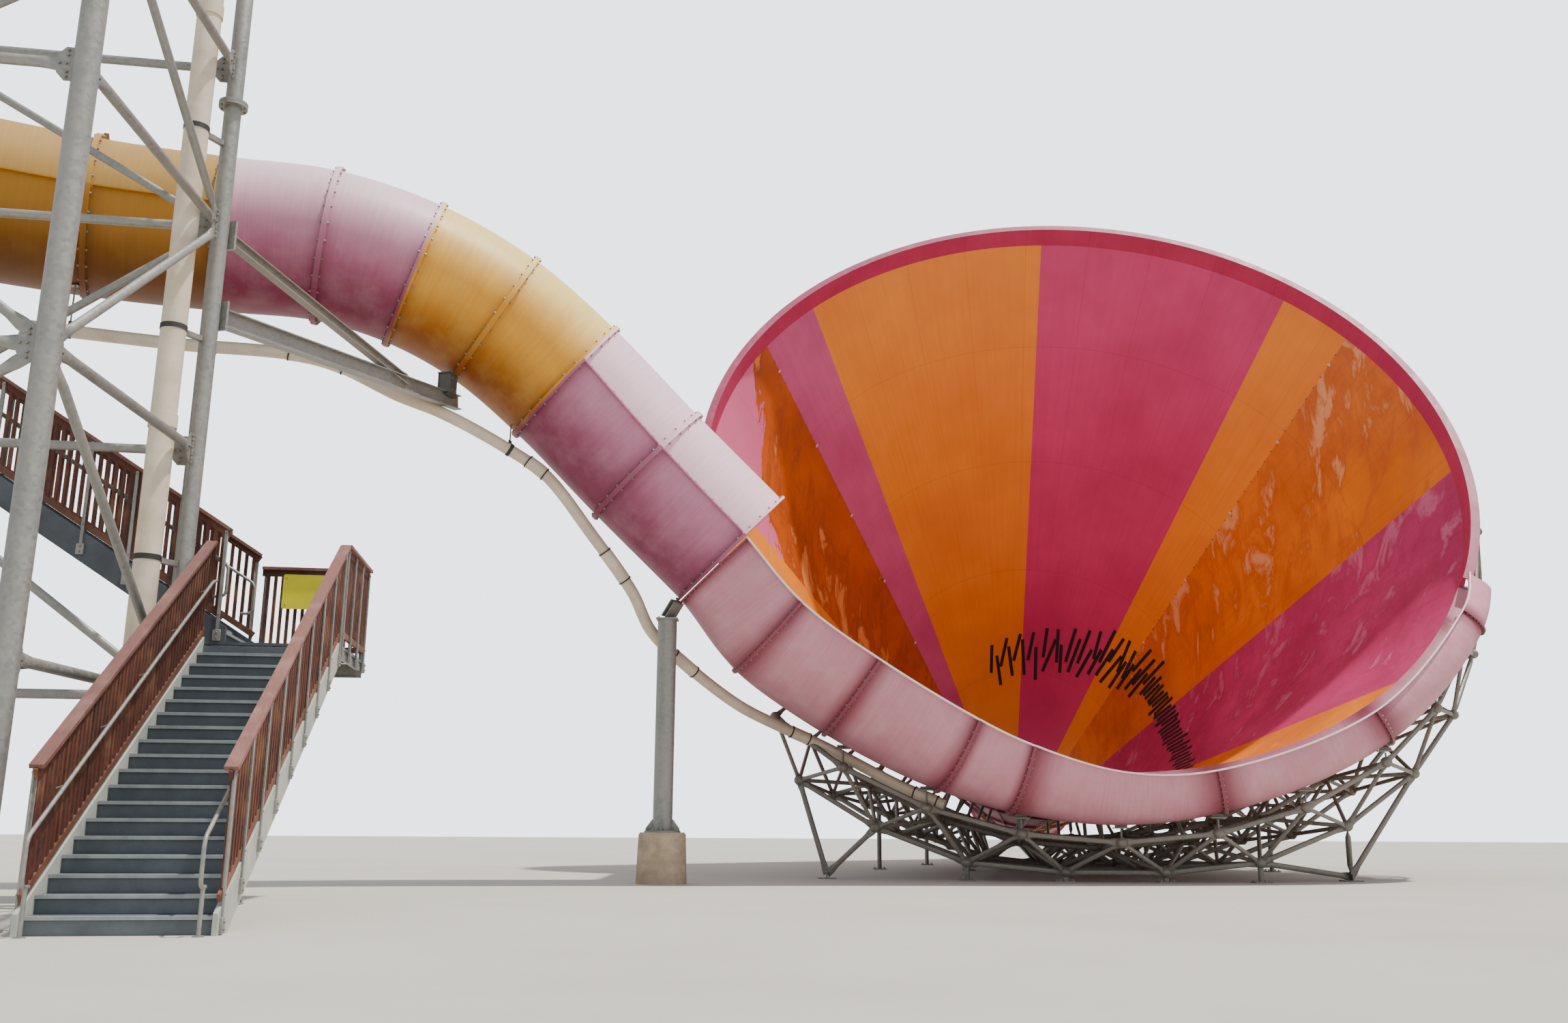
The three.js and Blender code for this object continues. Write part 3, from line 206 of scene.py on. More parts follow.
def hex_bolts(points, normals, across, height, material=1):
    """Bolt heads: six-sided bars that stand on the surface along its normal."""
    points, normals = np.broadcast_arrays(*np.atleast_2d(points, unit(normals)))
    return bars(points - normals * 0.004, points + normals * height, across / 2, 6, material, 0.5)


def show(name, data):
    """A new object in the scene."""
    thing = bpy.data.objects.new(name, data)
    bpy.context.scene.collection.objects.link(thing)
    return thing


def piece(name, parts, materials, replaces=(), cuts=(), smooth=38, bevel=0.0):
    """Joins parts into one object in the CAD frame, with its faces turned outwards. What lies
    beyond the plane of a cut is taken away and the cut is closed."""
    flat = [q for p in parts for q in (p if isinstance(p, list) else [p])]
    first = np.cumsum([0] + [len(p["points"]) for p in flat])
    points, place = (np.concatenate([p[key] for p in flat]) for key in ("points", "place"))
    faces, index = [], []
    for kind in ("quads", "triangles"):
        for p, start in zip(flat, first):
            faces += (p[kind] + start).tolist()
            index += [p["material"]] * len(p[kind])
    mesh = bpy.data.meshes.new(name)
    mesh.from_pydata((points + SHIFT).tolist(), [], faces)
    mesh.polygons.foreach_set("material_index", index)
    places = mesh.attributes.new("place", "FLOAT_VECTOR", "POINT")
    places.data.foreach_set("vector", place.astype(np.float32).ravel())
    shell = bmesh.new()
    shell.from_mesh(mesh)
    bmesh.ops.remove_doubles(shell, verts=shell.verts, dist=1e-6)
    for point, normal in cuts:
        found = bmesh.ops.bisect_plane(shell, geom=[*shell.verts, *shell.edges, *shell.faces], dist=1e-5,
                                       plane_co=Vector(point + SHIFT), plane_no=Vector(normal),
                                       clear_outer=True)
        edges = [e for e in found["geom_cut"] if isinstance(e, bmesh.types.BMEdge)]
        edges = [e for e in edges if e.is_valid and e.is_boundary]
        if edges:
            bmesh.ops.triangle_fill(shell, use_beauty=True, edges=edges)
    bmesh.ops.recalc_face_normals(shell, faces=shell.faces)
    shell.to_mesh(mesh)
    shell.free()
    mesh.polygons.foreach_set("use_smooth", np.ones(len(mesh.polygons), bool))
    mesh.set_sharp_from_angle(angle=math.radians(smooth))
    for material in materials:
        mesh.materials.append(material)
    thing = show(name, mesh)
    if bevel:
        edge = thing.modifiers.new("edge", "BEVEL")
        edge.width = bevel
        edge.segments = 1
        edge.limit_method = "ANGLE"
        edge.angle_limit = math.radians(50)
    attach(thing, "root")
    if replaces:
        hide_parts(*replaces)
    print(f"{name}: {len(mesh.vertices)} points, {len(mesh.polygons)} faces")

# %% [markdown]
# Every finish is a small graph of nodes. One function adds a node, sets it and links it, so each
# material below reads as a list of what the surface is made of. Colours are written as sRGB hex,
# as a paint chart gives them, and turned to linear values once.

# %% Colour and nodes
def colour(text):
    """An sRGB hex value as linear red, green, blue and alpha."""
    parts = [int(text[i:i + 2], 16) / 255 for i in (1, 3, 5)]
    return tuple(c / 12.92 if c <= 0.04045 else ((c + 0.055) / 1.055) ** 2.4 for c in parts) + (1.0,)


def wire(node, inputs):
    """Sets inputs by name or number. A socket, or the first output in use of a node, is linked; a
    text is a colour; any other value is set as it is."""
    for key, value in inputs.items():
        if isinstance(value, bpy.types.Node):
            value = next(output for output in value.outputs if output.enabled)
        if isinstance(value, bpy.types.NodeSocket):
            node.id_data.links.new(value, node.inputs[key])
        else:
            node.inputs[key].default_value = colour(value) if isinstance(value, str) else value


def add(tree, kind, inputs, **settings):
    """Adds one node with its settings and inputs. A Mix mixes colours unless told otherwise."""
    node = tree.nodes.new("ShaderNode" + kind)
    if kind == "Mix":
        settings = {"data_type": "RGBA", **settings}
    for key, value in settings.items():
        setattr(node, key, value)
    wire(node, inputs)
    return node


def finish_of(name, metallic=0.0):
    """A new material, its nodes, its shader and the object's own coordinates in metres."""
    material = bpy.data.materials.new(name)
    material.use_nodes = True
    tree = material.node_tree
    shader = tree.nodes["Principled BSDF"]
    wire(shader, {"Metallic": metallic})
    return material, tree, shader, add(tree, "TexCoord", {}).outputs["Object"]


def place_of(tree):
    """The three values of the place attribute."""
    place = add(tree, "Attribute", {}, attribute_name="place").outputs["Vector"]
    return add(tree, "SeparateXYZ", {0: place}).outputs


# %% [markdown]
# Fibreglass is laid up in a mould whose first coat is a coloured gel coat: smooth, glossy and even
# when new. Years of sun bleach it from the top down, and water leaves streaks that run across the
# flume. Low down and towards its end flanges each moulding is painted darker. Both are painted shade:
# low down for the underside, and at the ends because less light shines through the laminate there
# than in the middle. Low down it is mixed with deeper colour that the sun has not faded. Each moulding
# carries its bleaching and painted shade in its own place attribute: x is how far along the moulding
# (0 to 1), y is how high on it (0 to 1) and z is metres along the flume for the streaks.

# %% Gel coat of the flume
def flume_gel_coat(name, deep, body, bleached, seam_height, rib_painted_shade, soft=0.004, body_from=0.42):
    """Deep colour low down, partly painted shade; body colour below the seam, bleached above it; painted
    shade towards both ends; streaked and chalky.
    """
    material, tree, shader, where = finish_of(name)
    along, height, metres = place_of(tree)
    smooth = {"interpolation_type": "SMOOTHSTEP"}
    # Painted shade: the deep colour fills the bottom of the moulding up to body_from, partly unfaded colour
    # and partly the shade under the curve
    low = add(tree, "MapRange", {0: height, 1: 0.0, 2: body_from}, **smooth)
    high = add(tree, "MapRange", {0: height, 1: seam_height - soft, 2: seam_height + soft}, **smooth)
    # Painted shade towards the end flanges: the ends darken to deep and the middle stays light, as if lit
    # through the laminate
    off_middle = add(tree, "Math", {0: along, 1: 0.5}, operation="SUBTRACT")
    from_middle = add(tree, "Math", {0: off_middle}, operation="ABSOLUTE")
    edge = add(tree, "MapRange", {0: from_middle, 1: 0.30, 2: 0.5, 4: rib_painted_shade}, **smooth)
    # Streaks are about 60 mm wide along the flume and run round it
    stretch = add(tree, "CombineXYZ", {0: metres, 1: height})
    streaks = add(tree, "Mapping", {"Vector": stretch, "Scale": (9.0, 1.6, 1.0)})
    streak = add(tree, "TexNoise", {"Vector": streaks, "Scale": 1.6, "Detail": 5.0, "Roughness": 0.62})
    # Chalky clouds are about half a metre wide
    cloud = add(tree, "TexNoise", {"Vector": where, "Scale": 1.7, "Detail": 6.0, "Roughness": 0.6})
    chalk = add(tree, "MapRange", {0: cloud, 1: 0.42, 2: 0.72, 4: 0.14})
    base = add(tree, "Mix", {0: low, 6: deep, 7: body})
    for level, over in ((chalk, bleached), (edge, deep), (high, bleached)):
        base = add(tree, "Mix", {0: level, 6: base, 7: over})
    band = add(tree, "MapRange", {0: streak, 1: 0.36, 2: 0.68, 3: 0.90, 4: 1.06})
    base = add(tree, "Mix", {0: 0.75, 6: base, 7: band}, blend_type="MULTIPLY")
    rough = add(tree, "MapRange", {0: cloud, 3: 0.34, 4: 0.62})
    # Moulded laminate is never quite flat: waves of about 0.4 m, 2 mm high
    wave = add(tree, "TexNoise", {"Vector": where, "Scale": 2.4, "Detail": 2.0})
    bump = add(tree, "Bump", {"Height": wave, "Strength": 0.25, "Distance": 0.01})
    wire(shader, {"Base Color": base, "Roughness": rough, "Specular IOR Level": 0.3, "Normal": bump})
    return material


# The deep colours and the fifth value, the darkening of the ends, are set dark enough to paint in the shade
# low down and at the ends
flume_pink = flume_gel_coat("gel_coat_flume_pink", "#7a2440", "#be708e", "#ecccd6", 0.60, 0.25, 0.34)
flume_pink_seamed = flume_gel_coat("gel_coat_flume_pink_seamed", "#80304e", "#c67c9a", "#f4cad8", 0.5, 0.45)
flume_yellow = flume_gel_coat(
    "gel_coat_flume_yellow", "#8a4600", "#e6a02c", "#fadc84", 0.66, 0.20, 0.32, 0.34)
# The first two lengths get a darker copy of the yellow all over: painted shade over the whole of both lengths
flume_yellow_seamed_painted_shade = flume_gel_coat(
    "gel_coat_flume_yellow_seamed", "#6a3a08", "#b47a20", "#b08844", 0.5, 0.25)
# The channel's panels darken strongly towards their ribs: painted shade round a lighter middle
channel_pink = flume_gel_coat(
    "gel_coat_channel_pink", "#7c2238", "#cc8a98", "#f2dfe2", 0.985, 0.80, 0.004, 0.62)

# %% [markdown]
# The cone is moulded in long tapered panels, orange and magenta. Here the place attribute is depth
# into the cone in metres, angle round the mouth in degrees, and 1 on the outside. The panels under
# the bolted seams are worn by water: stained and rubbed pale in patches that drain downhill.

# %% Gel coat of the cone
def cone_gel_coat(name, deep, body, rubbed, wear=0.0, fresh_at=0.0, seam_at=1.0, wedge=False):
    """Body colour with broad clouds towards deep, thin joint lines, and rubbed patches by wear,
    which gather from the angle fresh_at to the angle seam_at."""
    material, tree, shader, where = finish_of(name)
    depth, angle, outside = place_of(tree)
    cloud = add(tree, "TexNoise", {"Vector": where, "Scale": 0.45, "Detail": 5.0, "Roughness": 0.55})
    clouds = add(tree, "MapRange", {0: cloud, 1: 0.34, 2: 0.70, 4: 0.75})
    base = add(tree, "Mix", {0: clouds, 6: body, 7: deep})
    # Water streaks run down the cone: narrow across the angle and long in depth
    plan = add(tree, "CombineXYZ", {0: depth, 1: angle})
    run = add(tree, "Mapping", {"Vector": plan, "Scale": (0.35, 0.9, 1.0)})
    streak = add(tree, "TexNoise", {"Vector": run, "Scale": 1.0, "Detail": 7.0, "Roughness": 0.66})
    # Patches of about 0.6 m hang from the bolted seam and drain straight down
    drip = add(tree, "Mapping", {"Vector": where, "Scale": (1.5, 1.5, 0.55)})
    patch = add(tree, "TexNoise", {"Vector": drip, "Scale": 1.0, "Detail": 9.0, "Roughness": 0.66,
                                   "Distortion": 0.5})
    near = add(tree, "MapRange", {0: angle, 1: fresh_at, 2: seam_at})
    level = add(tree, "Math", {0: near, 1: 0.10, 2: patch}, operation="MULTIPLY_ADD")
    for low, high, share, over in ((0.50, 0.60, 0.7 * wear, deep), (0.62, 0.69, wear, rubbed)):
        amount = add(tree, "MapRange", {0: level, 1: low, 2: high, 4: share})
        base = add(tree, "Mix", {0: amount, 6: base, 7: over})
    shade = add(tree, "MapRange", {0: streak, 1: 0.3, 2: 0.7, 3: 0.92, 4: 1.05})
    base = add(tree, "Mix", {0: 0.8, 6: base, 7: shade}, blend_type="MULTIPLY")
    if wedge:
        # A pink filler panel lies between the rim and the first orange panel on the left
        edge = add(tree, "MapRange", {0: angle, 1: 146.45, 2: 168.8, 3: 0.0, 4: 2.53}, clamp=False)
        ragged = add(tree, "Math", {0: patch, 1: 2.4, 2: depth}, operation="MULTIPLY_ADD")
        level_off = add(tree, "Math", {0: ragged, 1: 1.2}, operation="SUBTRACT")
        inside = add(tree, "Math", {0: level_off, 1: edge}, operation="LESS_THAN")
        base = add(tree, "Mix", {0: inside, 6: base, 7: "#d46a8e"})
    # Joint lines: dark where the angle (every 11.5 degrees) or the depth (every 3.25 m) is just
    # past a joint
    lines = []
    for value, step, width in ((angle, PANEL_JOINT, 0.010), (depth, RING_JOINT, 0.005)):
        turn = add(tree, "Math", {0: value, 1: step}, operation="DIVIDE")
        past = add(tree, "Math", {0: turn}, operation="FRACT")
        lines.append(add(tree, "Math", {0: past, 1: width}, operation="LESS_THAN"))
    line = add(tree, "Math", {0: lines[0], 1: lines[1]}, operation="MAXIMUM")
    faint = add(tree, "Math", {0: line, 1: 0.22}, operation="MULTIPLY")
    base = add(tree, "Mix", {0: faint, 6: base, 7: "#5a1f2c"})
    # The laminate's outside is dull and dusty
    dusty = add(tree, "Mix", {0: 0.45, 6: base, 7: "#b59c97"})
    base = add(tree, "Mix", {0: outside, 6: base, 7: dusty})
    rough = add(tree, "MapRange", {0: patch, 1: 0.3, 2: 0.7, 3: 0.42 - 0.22 * wear, 4: 0.6})
    wave = add(tree, "TexNoise", {"Vector": where, "Scale": 1.1, "Detail": 3.0})
    bump = add(tree, "Bump", {"Height": wave, "Strength": 0.3, "Distance": 0.02})
    wire(shader, {"Base Color": base, "Roughness": rough, "Normal": bump})
    return material


PANEL_JOINT, RING_JOINT = 11.5, 3.25
cone_orange = cone_gel_coat("gel_coat_cone_orange", "#de7a18", "#f2921f", "#f5bd80")
cone_magenta = cone_gel_coat("gel_coat_cone_magenta", "#b62a60", "#d03c78", "#e88aa8")
cone_magenta_pale = cone_gel_coat("gel_coat_cone_magenta_pale", "#b2406e", "#cc5c8a", "#e0a3bd")
cone_orange_worn = cone_gel_coat("gel_coat_cone_orange_worn", "#b8540e", "#ea8418", "#efb27c", 0.7, 0.0, 30.5)
cone_orange_used = cone_gel_coat("gel_coat_cone_orange_used", "#c2600f", "#ec8a1a", "#efb27c", 0.4, 400, 500)
cone_orange_left = cone_gel_coat(
    "gel_coat_cone_orange_left", "#8f3a08", "#c45c10", "#ea9448", 0.8, 156, 181, True)
cone_magenta_worn = cone_gel_coat(
    "gel_coat_cone_magenta_worn", "#98284e", "#c8427a", "#d98aa8", 0.45, 318, 357)
rim_red = cone_gel_coat("gel_coat_rim_red", "#a82c58", "#c0406c", "#e07a9b")
# The fins get a darker copy of the rim's red: painted shade on their faces
fin_red_painted_shade = cone_gel_coat("gel_coat_fin_red", "#86203e", "#a02c4c", "#b5556b")
lip_pink = cone_gel_coat("gel_coat_lip_pink", "#a23258", "#b84468", "#d68aa2", 0.2)

# %% [markdown]
# Steel that stands outdoors is dipped in molten zinc. It dries to a grey spangle and goes chalky,
# with darker runs and a film of dust. It is a metal, but a rough one, so its own colour shows.

# %% Galvanised steel
def zinc(name, light, dark, dust, metallic):
    """Zinc spangles of about 40 mm over slow clouds, with dust on top."""
    material, tree, shader, where = finish_of(name, metallic)
    tone = place_of(tree)[2]
    cell = add(tree, "TexVoronoi", {"Vector": where, "Scale": 22.0}).outputs["Color"]
    grey = add(tree, "SeparateColor", {0: cell})
    cloud = add(tree, "TexNoise", {"Vector": where, "Scale": 1.3, "Detail": 6.0, "Roughness": 0.65})
    mixed = add(tree, "Math", {0: grey, 1: 0.35, 2: cloud}, operation="MULTIPLY_ADD")
    toned = add(tree, "Math", {0: tone, 1: 0.22, 2: mixed}, operation="MULTIPLY_ADD")
    level = add(tree, "MapRange", {0: toned, 1: 0.25, 2: 1.30})
    base = add(tree, "Mix", {0: level, 6: dark, 7: light})
    dirt = add(tree, "MapRange", {0: cloud, 1: 0.45, 2: 0.75, 4: 0.55})
    base = add(tree, "Mix", {0: dirt, 6: base, 7: dust})
    rough = add(tree, "MapRange", {0: grey, 3: 0.42, 4: 0.62})
    grain = add(tree, "TexNoise", {"Vector": where, "Scale": 60.0, "Detail": 3.0})
    bump = add(tree, "Bump", {"Height": grain, "Strength": 0.12, "Distance": 0.004})
    wire(shader, {"Base Color": base, "Roughness": rough, "Normal": bump})
    return material


zinc_grey = zinc("galvanised_steel", "#a8a7a1", "#757570", "#958e83", 0.45)
# The space frame's darker copy of the zinc is painted shade, for the frame that stands under the cone
frame_zinc_painted_shade = zinc("galvanised_frame_steel_painted_shade", "#969188", "#625e57", "#857b6c", 0.35)
zinc_dusty = zinc("galvanised_steel_dusty", "#a19a90", "#6c6760", "#8f8170", 0.30)
bolt_zinc = zinc("zinc_bolts", "#a5a096", "#6b675f", "#857c6f", 0.50)

# %% [markdown]
# Painted steel and rubber are plain, but never one flat colour: paint chalks and picks up dust in
# clouds, and its gloss breaks up. Cast concrete shows its pour as faint level bands and stains.

# %% Paint, rubber and concrete
def paint(name, body, shade, roughness, cloud_m, grain_m, metallic=0.0, bands=0.0):
    """Body colour with clouds of shade; cloud_m and grain_m are the sizes of clouds and grain."""
    material, tree, shader, where = finish_of(name, metallic)
    cloud = add(tree, "TexNoise", {"Vector": where, "Scale": 1 / cloud_m, "Detail": 7.0, "Roughness": 0.68})
    level = add(tree, "MapRange", {0: cloud, 1: 0.36, 2: 0.72})
    base = add(tree, "Mix", {0: level, 6: body, 7: shade})
    if bands:
        height = add(tree, "SeparateXYZ", {0: where}).outputs[2]
        layers = add(tree, "TexNoise", {"W": height, "Scale": bands, "Detail": 3.0}, noise_dimensions="1D")
        stain = add(tree, "MapRange", {0: layers, 1: 0.45, 2: 0.7, 4: 0.5})
        base = add(tree, "Mix", {0: stain, 6: base, 7: shade})
    rough = add(tree, "MapRange", {0: cloud, 3: roughness - 0.12, 4: roughness + 0.15})
    grain = add(tree, "TexNoise", {"Vector": where, "Scale": 1 / grain_m, "Detail": 4.0, "Roughness": 0.7})
    bump = add(tree, "Bump", {"Height": grain, "Strength": 0.3, "Distance": grain_m * 0.12})
    wire(shader, {"Base Color": base, "Roughness": rough, "Normal": bump})
    return material


cream_paint = paint("cream_paint", "#e8dac3", "#c6b398", 0.5, 0.9, 0.03, bands=1.6)
tread_paint = paint("deck_paint_grey", "#5a6267", "#474e53", 0.62, 0.35, 0.012)
riser_paint = paint("riser_paint_grey", "#626a6f", "#50575c", 0.6, 0.4, 0.012)
nosing_paint = paint("nosing_paint_pale", "#969d9f", "#7b8285", 0.55, 0.2, 0.01)
stringer_paint = paint("stringer_paint_grey", "#b9bbb1", "#9b9d94", 0.55, 0.6, 0.02)
stub_steel = paint("stub_steel", "#6c6a66", "#55524e", 0.5, 0.3, 0.01, 0.4)
dark_stringer = paint("stringer_paint_dark", "#50565c", "#3c4146", 0.55, 0.6, 0.02)
strip_rubber = paint("anti_slip_rubber", "#1a1617", "#2b2224", 0.75, 0.15, 0.008)
clamp_black = paint("clamp_black", "#2a2726", "#3d3833", 0.6, 0.2, 0.01)
sign_yellow = paint("sign_plate_yellow", "#fff41c", "#f2e41a", 0.45, 0.4, 0.02)
concrete = paint("cast_concrete", "#bfa98e", "#93806a", 0.85, 0.28, 0.015, bands=4.0)
seal_white = paint("sealant_white", "#e6dfd6", "#c9beb2", 0.6, 0.1, 0.01)

# %% [markdown]
# The guards are softwood under a red-brown stain that has worn thin. The grain runs along each
# board, so the wood reads the board's own place: metres along, metres across, and a tone that sets
# one board apart from the next.

# %% Stained wood
def stained_wood(name, stain, bare, dark):
    """Rings of grain about 8 mm apart across the board, drawn out along it, and thin worn stain."""
    material, tree, shader, where = finish_of(name)
    along, across, tone = place_of(tree)
    shift = add(tree, "Math", {0: tone, 1: 37.0}, operation="MULTIPLY")
    board = add(tree, "CombineXYZ", {0: along, 1: across, 2: shift})
    drawn = add(tree, "Mapping", {"Vector": board, "Scale": (1.6, 30.0, 1.0)})
    grain = add(tree, "TexNoise", {"Vector": drawn, "Scale": 4.0, "Detail": 8.0, "Roughness": 0.7,
                                   "Distortion": 0.4})
    patch = add(tree, "TexNoise", {"Vector": where, "Scale": 2.4, "Detail": 5.0})
    level = add(tree, "MapRange", {0: grain, 1: 0.3, 2: 0.7})
    base = add(tree, "Mix", {0: level, 6: dark, 7: stain})
    thin = add(tree, "MapRange", {0: patch, 1: 0.50, 2: 0.80, 4: 0.65})
    base = add(tree, "Mix", {0: thin, 6: base, 7: bare})
    grey = add(tree, "MapRange", {0: tone, 3: 0.72, 4: 1.14})
    base = add(tree, "Mix", {0: 1.0, 6: base, 7: grey}, blend_type="MULTIPLY")
    bump = add(tree, "Bump", {"Height": grain, "Strength": 0.35, "Distance": 0.004})
    wire(shader, {"Base Color": base, "Roughness": 0.68, "Normal": bump})
    return material


picket_wood = stained_wood("stained_picket_wood", "#6e3a26", "#9c6c48", "#3c1c12")
cap_wood = stained_wood("faded_cap_wood", "#8c6056", "#a58074", "#6b4139")
rail_wood = stained_wood("stained_rail_wood", "#80503a", "#a07654", "#52301f")
print("materials:", len(bpy.data.materials))

# %% [markdown]
# The cone is a surface of two numbers: an angle round the mouth and a depth into it. Its radius falls
# evenly with depth. One function gives any point on it, and everything that touches the cone, from
# its ribs to the frame beneath it, is placed by that same function.

# %% The cone's own coordinates
MOUTH_CENTRE = np.array([7.04, 31.39, 10.02])
AXIS_AZIMUTH, AXIS_FALL = math.radians(3.2), math.radians(29.9)
INWARD = np.array([math.sin(AXIS_AZIMUTH) * math.cos(AXIS_FALL),
                   math.cos(AXIS_AZIMUTH) * math.cos(AXIS_FALL), -math.sin(AXIS_FALL)])
MOUTH_RIGHT = unit(np.cross(INWARD, UP))
MOUTH_UP = np.cross(MOUTH_RIGHT, INWARD)
BAND_R, RIM_R = 8.95, 9.144
BAND_DEPTH, APEX_DEPTH, EXIT_DEPTH = 0.55, 18.8, 15.5
WALL, FLANGE, FLANGE_THICK, GAP = 0.025, 0.11, 0.04, 0.0003
SEAMS = [-2.7, 30.5, 43.9, 89.2, 136.2, 149.2, 181, 226, 270, 313]


def cone_radius(depth):
    """Inside radius: it falls in a straight line from the rim band to nothing at the apex."""
    return BAND_R * (APEX_DEPTH - depth) / (APEX_DEPTH - BAND_DEPTH)


def outward_at(angle):
    """Straight out from the axis: cos a · right + sin a · up, with the angle in degrees."""
    turn = np.radians(angle)[..., None]
    return np.cos(turn) * MOUTH_RIGHT + np.sin(turn) * MOUTH_UP


def round_at(angle):
    """The direction round the cone at an angle."""
    return np.cross(INWARD, outward_at(angle))


def cone_point(angle, radius, depth):
    """Mouth centre + radius · outward + depth · inward, for numbers or arrays."""
    radius, depth = (np.asarray(x)[..., None] for x in (radius, depth))
    return MOUTH_CENTRE + radius * outward_at(angle) + depth * INWARD


def wall_point(angle, depth, lift):
    """A point at a height over the cone's inside."""
    return cone_point(angle, cone_radius(depth) + lift, depth)


def spun(outline, angles, material=0, outside_from=99, closed=False):
    """A closed outline of [radius, depth] corners carried round the axis. Place is depth, angle and
    1 on the outside, which starts at the outline's corner of that number."""
    radius, depth = np.array(outline).T
    angles = angles[:, None]
    outside = np.arange(len(depth)) >= outside_from
    return skin(cone_point(angles, radius, depth), (depth, angles, outside), material, closed)


# %% [markdown]
# Each panel is one closed shell: an inner wall, an outer wall and a turned-up flange at each end.
# The outside of such a cone is stiffened by ribs, which also make the bolted joints between the
# rings of mouldings. They are part of the outline, so one sweep makes panel and ribs together.

# %% Cone panels
RING_RIBS = (3.25, 6.5, 9.75, 13.0)
RIB_HALF, RIB_HEIGHT, SEAM_RIB_HEIGHT = 0.02, 0.085, 0.07
HAIR = 0.002


def panel_outline():
    """Inner wall from the mouth down, then the outer wall back up with its flanges and ribs."""
    inner = [(cone_radius(d), d) for d in np.linspace(BAND_DEPTH, EXIT_DEPTH, 15)]
    near, far = BAND_DEPTH + FLANGE_THICK, EXIT_DEPTH - FLANGE_THICK
    near_r, far_r = (cone_radius(d) + WALL + FLANGE for d in (BAND_DEPTH, EXIT_DEPTH))
    outer = [(far_r, EXIT_DEPTH), (far_r, far), (cone_radius(far) + WALL, far)]
    for rib in reversed(RING_RIBS):
        for offset, rise in ((RIB_HALF, 0), (RIB_HALF, RIB_HEIGHT), (-RIB_HALF, RIB_HEIGHT), (-RIB_HALF, 0)):
            outer.append((cone_radius(rib + offset) + WALL + rise, rib + offset))
    outer += [(cone_radius(near) + WALL, near), (near_r, near), (near_r, BAND_DEPTH)]
    return inner + outer, len(inner)


def seam_rib(angle, offset, height):
    """A plate that stands on the shell along one angle, from the rim flange to the end flange."""
    depth = np.array([BAND_DEPTH + FLANGE_THICK, EXIT_DEPTH - FLANGE_THICK])
    foot, top = wall_point(angle, depth, 0), wall_point(angle, depth, WALL + height)
    across = round_at(angle)
    middle = (foot + top) / 2 + across * offset
    made = boxes(middle.mean(0), (middle[1] - middle[0]) / 2, (top[0] - foot[0]) / 2, across * 0.01, 0, 1.0)
    made["place"][:, :2] = 5.0, angle + 3.0
    return made


outline, inner_count = panel_outline()
panel_finish = [cone_orange_worn, cone_orange, cone_magenta, cone_orange, cone_magenta_pale,
                cone_orange_left, cone_orange_used, cone_magenta_worn, cone_orange_used, cone_magenta_worn]
bolt_depth = np.arange(0.9, EXIT_DEPTH - 0.2, 0.45)
for i, (start, end, body) in enumerate(zip(SEAMS, SEAMS[1:] + [SEAMS[0] + 360], panel_finish)):
    angles = np.linspace(start + HAIR, end - HAIR, int((end - start) / 1.5))
    parts = [spun(outline, angles, outside_from=inner_count)]
    for rib in np.arange(-14, 346, PANEL_JOINT):
        if start + 1.5 < rib < end - 1.5 or start + 1.5 < rib + 360 < end - 1.5:
            parts.append(seam_rib(rib, 0.0, SEAM_RIB_HEIGHT))
    for edge, side in ((start, 1), (end, -1)):
        parts.append(seam_rib(edge, side * 0.012, FLANGE))
        across = round_at(edge) * side
        spots = wall_point(edge, bolt_depth, WALL + SEAM_RIB_HEIGHT) + across * 0.024
        parts.append(hex_bolts(spots, across, 0.04, 0.025))
    name = f"funnel_panel_{i + 1:02d}"
    piece(f"cone_{name}", parts, [body, bolt_zinc], [name])

# %% [markdown]
# Riders climb the far wall on their raft, and the crews lay strips of rubber there to slow it. They
# lie along the slope in a ragged double row on an arc. The arc is a line through a few measured
# points of angle and depth; a seeded generator shakes the strips, so each run gives the same ones.

# %% Anti-slip strips and seam bolts inside
ARC_ANGLE = [107.8, 78.0, 51.8, 33.0, 16.4, 0.0, -17.4, -36.0, -55.0]
ARC_DEPTH = [12.7, 12.3, 11.9, 11.6, 11.2, 11.0, 10.6, 9.5, 7.8]
STRIPS, STRIP_LIFT = 62, -0.006
run = np.linspace(0, 1, STRIPS)
knots = np.linspace(0, 1, len(ARC_ANGLE))
strip_angle, strip_depth = np.interp(run, knots, ARC_ANGLE), np.interp(run, knots, ARC_DEPTH)
ragged = np.where(run < 0.5, 1.0, 0.25)
strip_depth += (np.where(np.arange(STRIPS) % 2 == 0, -0.22, 0.22) + rng.normal(0, 0.12, STRIPS)) * ragged
strip_length = rng.uniform(0.95, 1.30, STRIPS) * np.where(run < 0.5, 1.0, 0.8)
tilt = rng.normal(0, 0.12, STRIPS) * ragged
centre = wall_point(strip_angle, strip_depth, STRIP_LIFT)
slope = unit(wall_point(strip_angle, strip_depth + 1, STRIP_LIFT) - centre)
outward = outward_at(strip_angle)
normal = unit(outward - np.sum(outward * slope, -1, keepdims=True) * slope)
along = unit(slope + np.cross(slope, normal) * tilt[:, None])
across = np.cross(along, normal)
strips = boxes(centre, along * strip_length[:, None] / 2, across * 0.05, normal * 0.005)
piece("anti_slip_strips", [strips], [strip_rubber])

SEALANT_DAB = [(0.0, -0.01), (0.055, -0.01), (0.05, 0.006), (0.0, 0.012)]
parts = []
for seam in (30.5, 149.2):
    bolts = wall_point(seam, np.arange(1.0, 12.2, 0.32), -0.001)
    dabs = wall_point(seam, np.arange(1.3, 12.0, 2.3), -0.001)
    parts.append(hex_bolts(bolts, -outward_at(seam), 0.045, 0.012, 0))
    parts += turned(dabs, -outward_at(seam), SEALANT_DAB, 12, 1)
piece("cone_seam_bolts", parts, [bolt_zinc, seal_white])

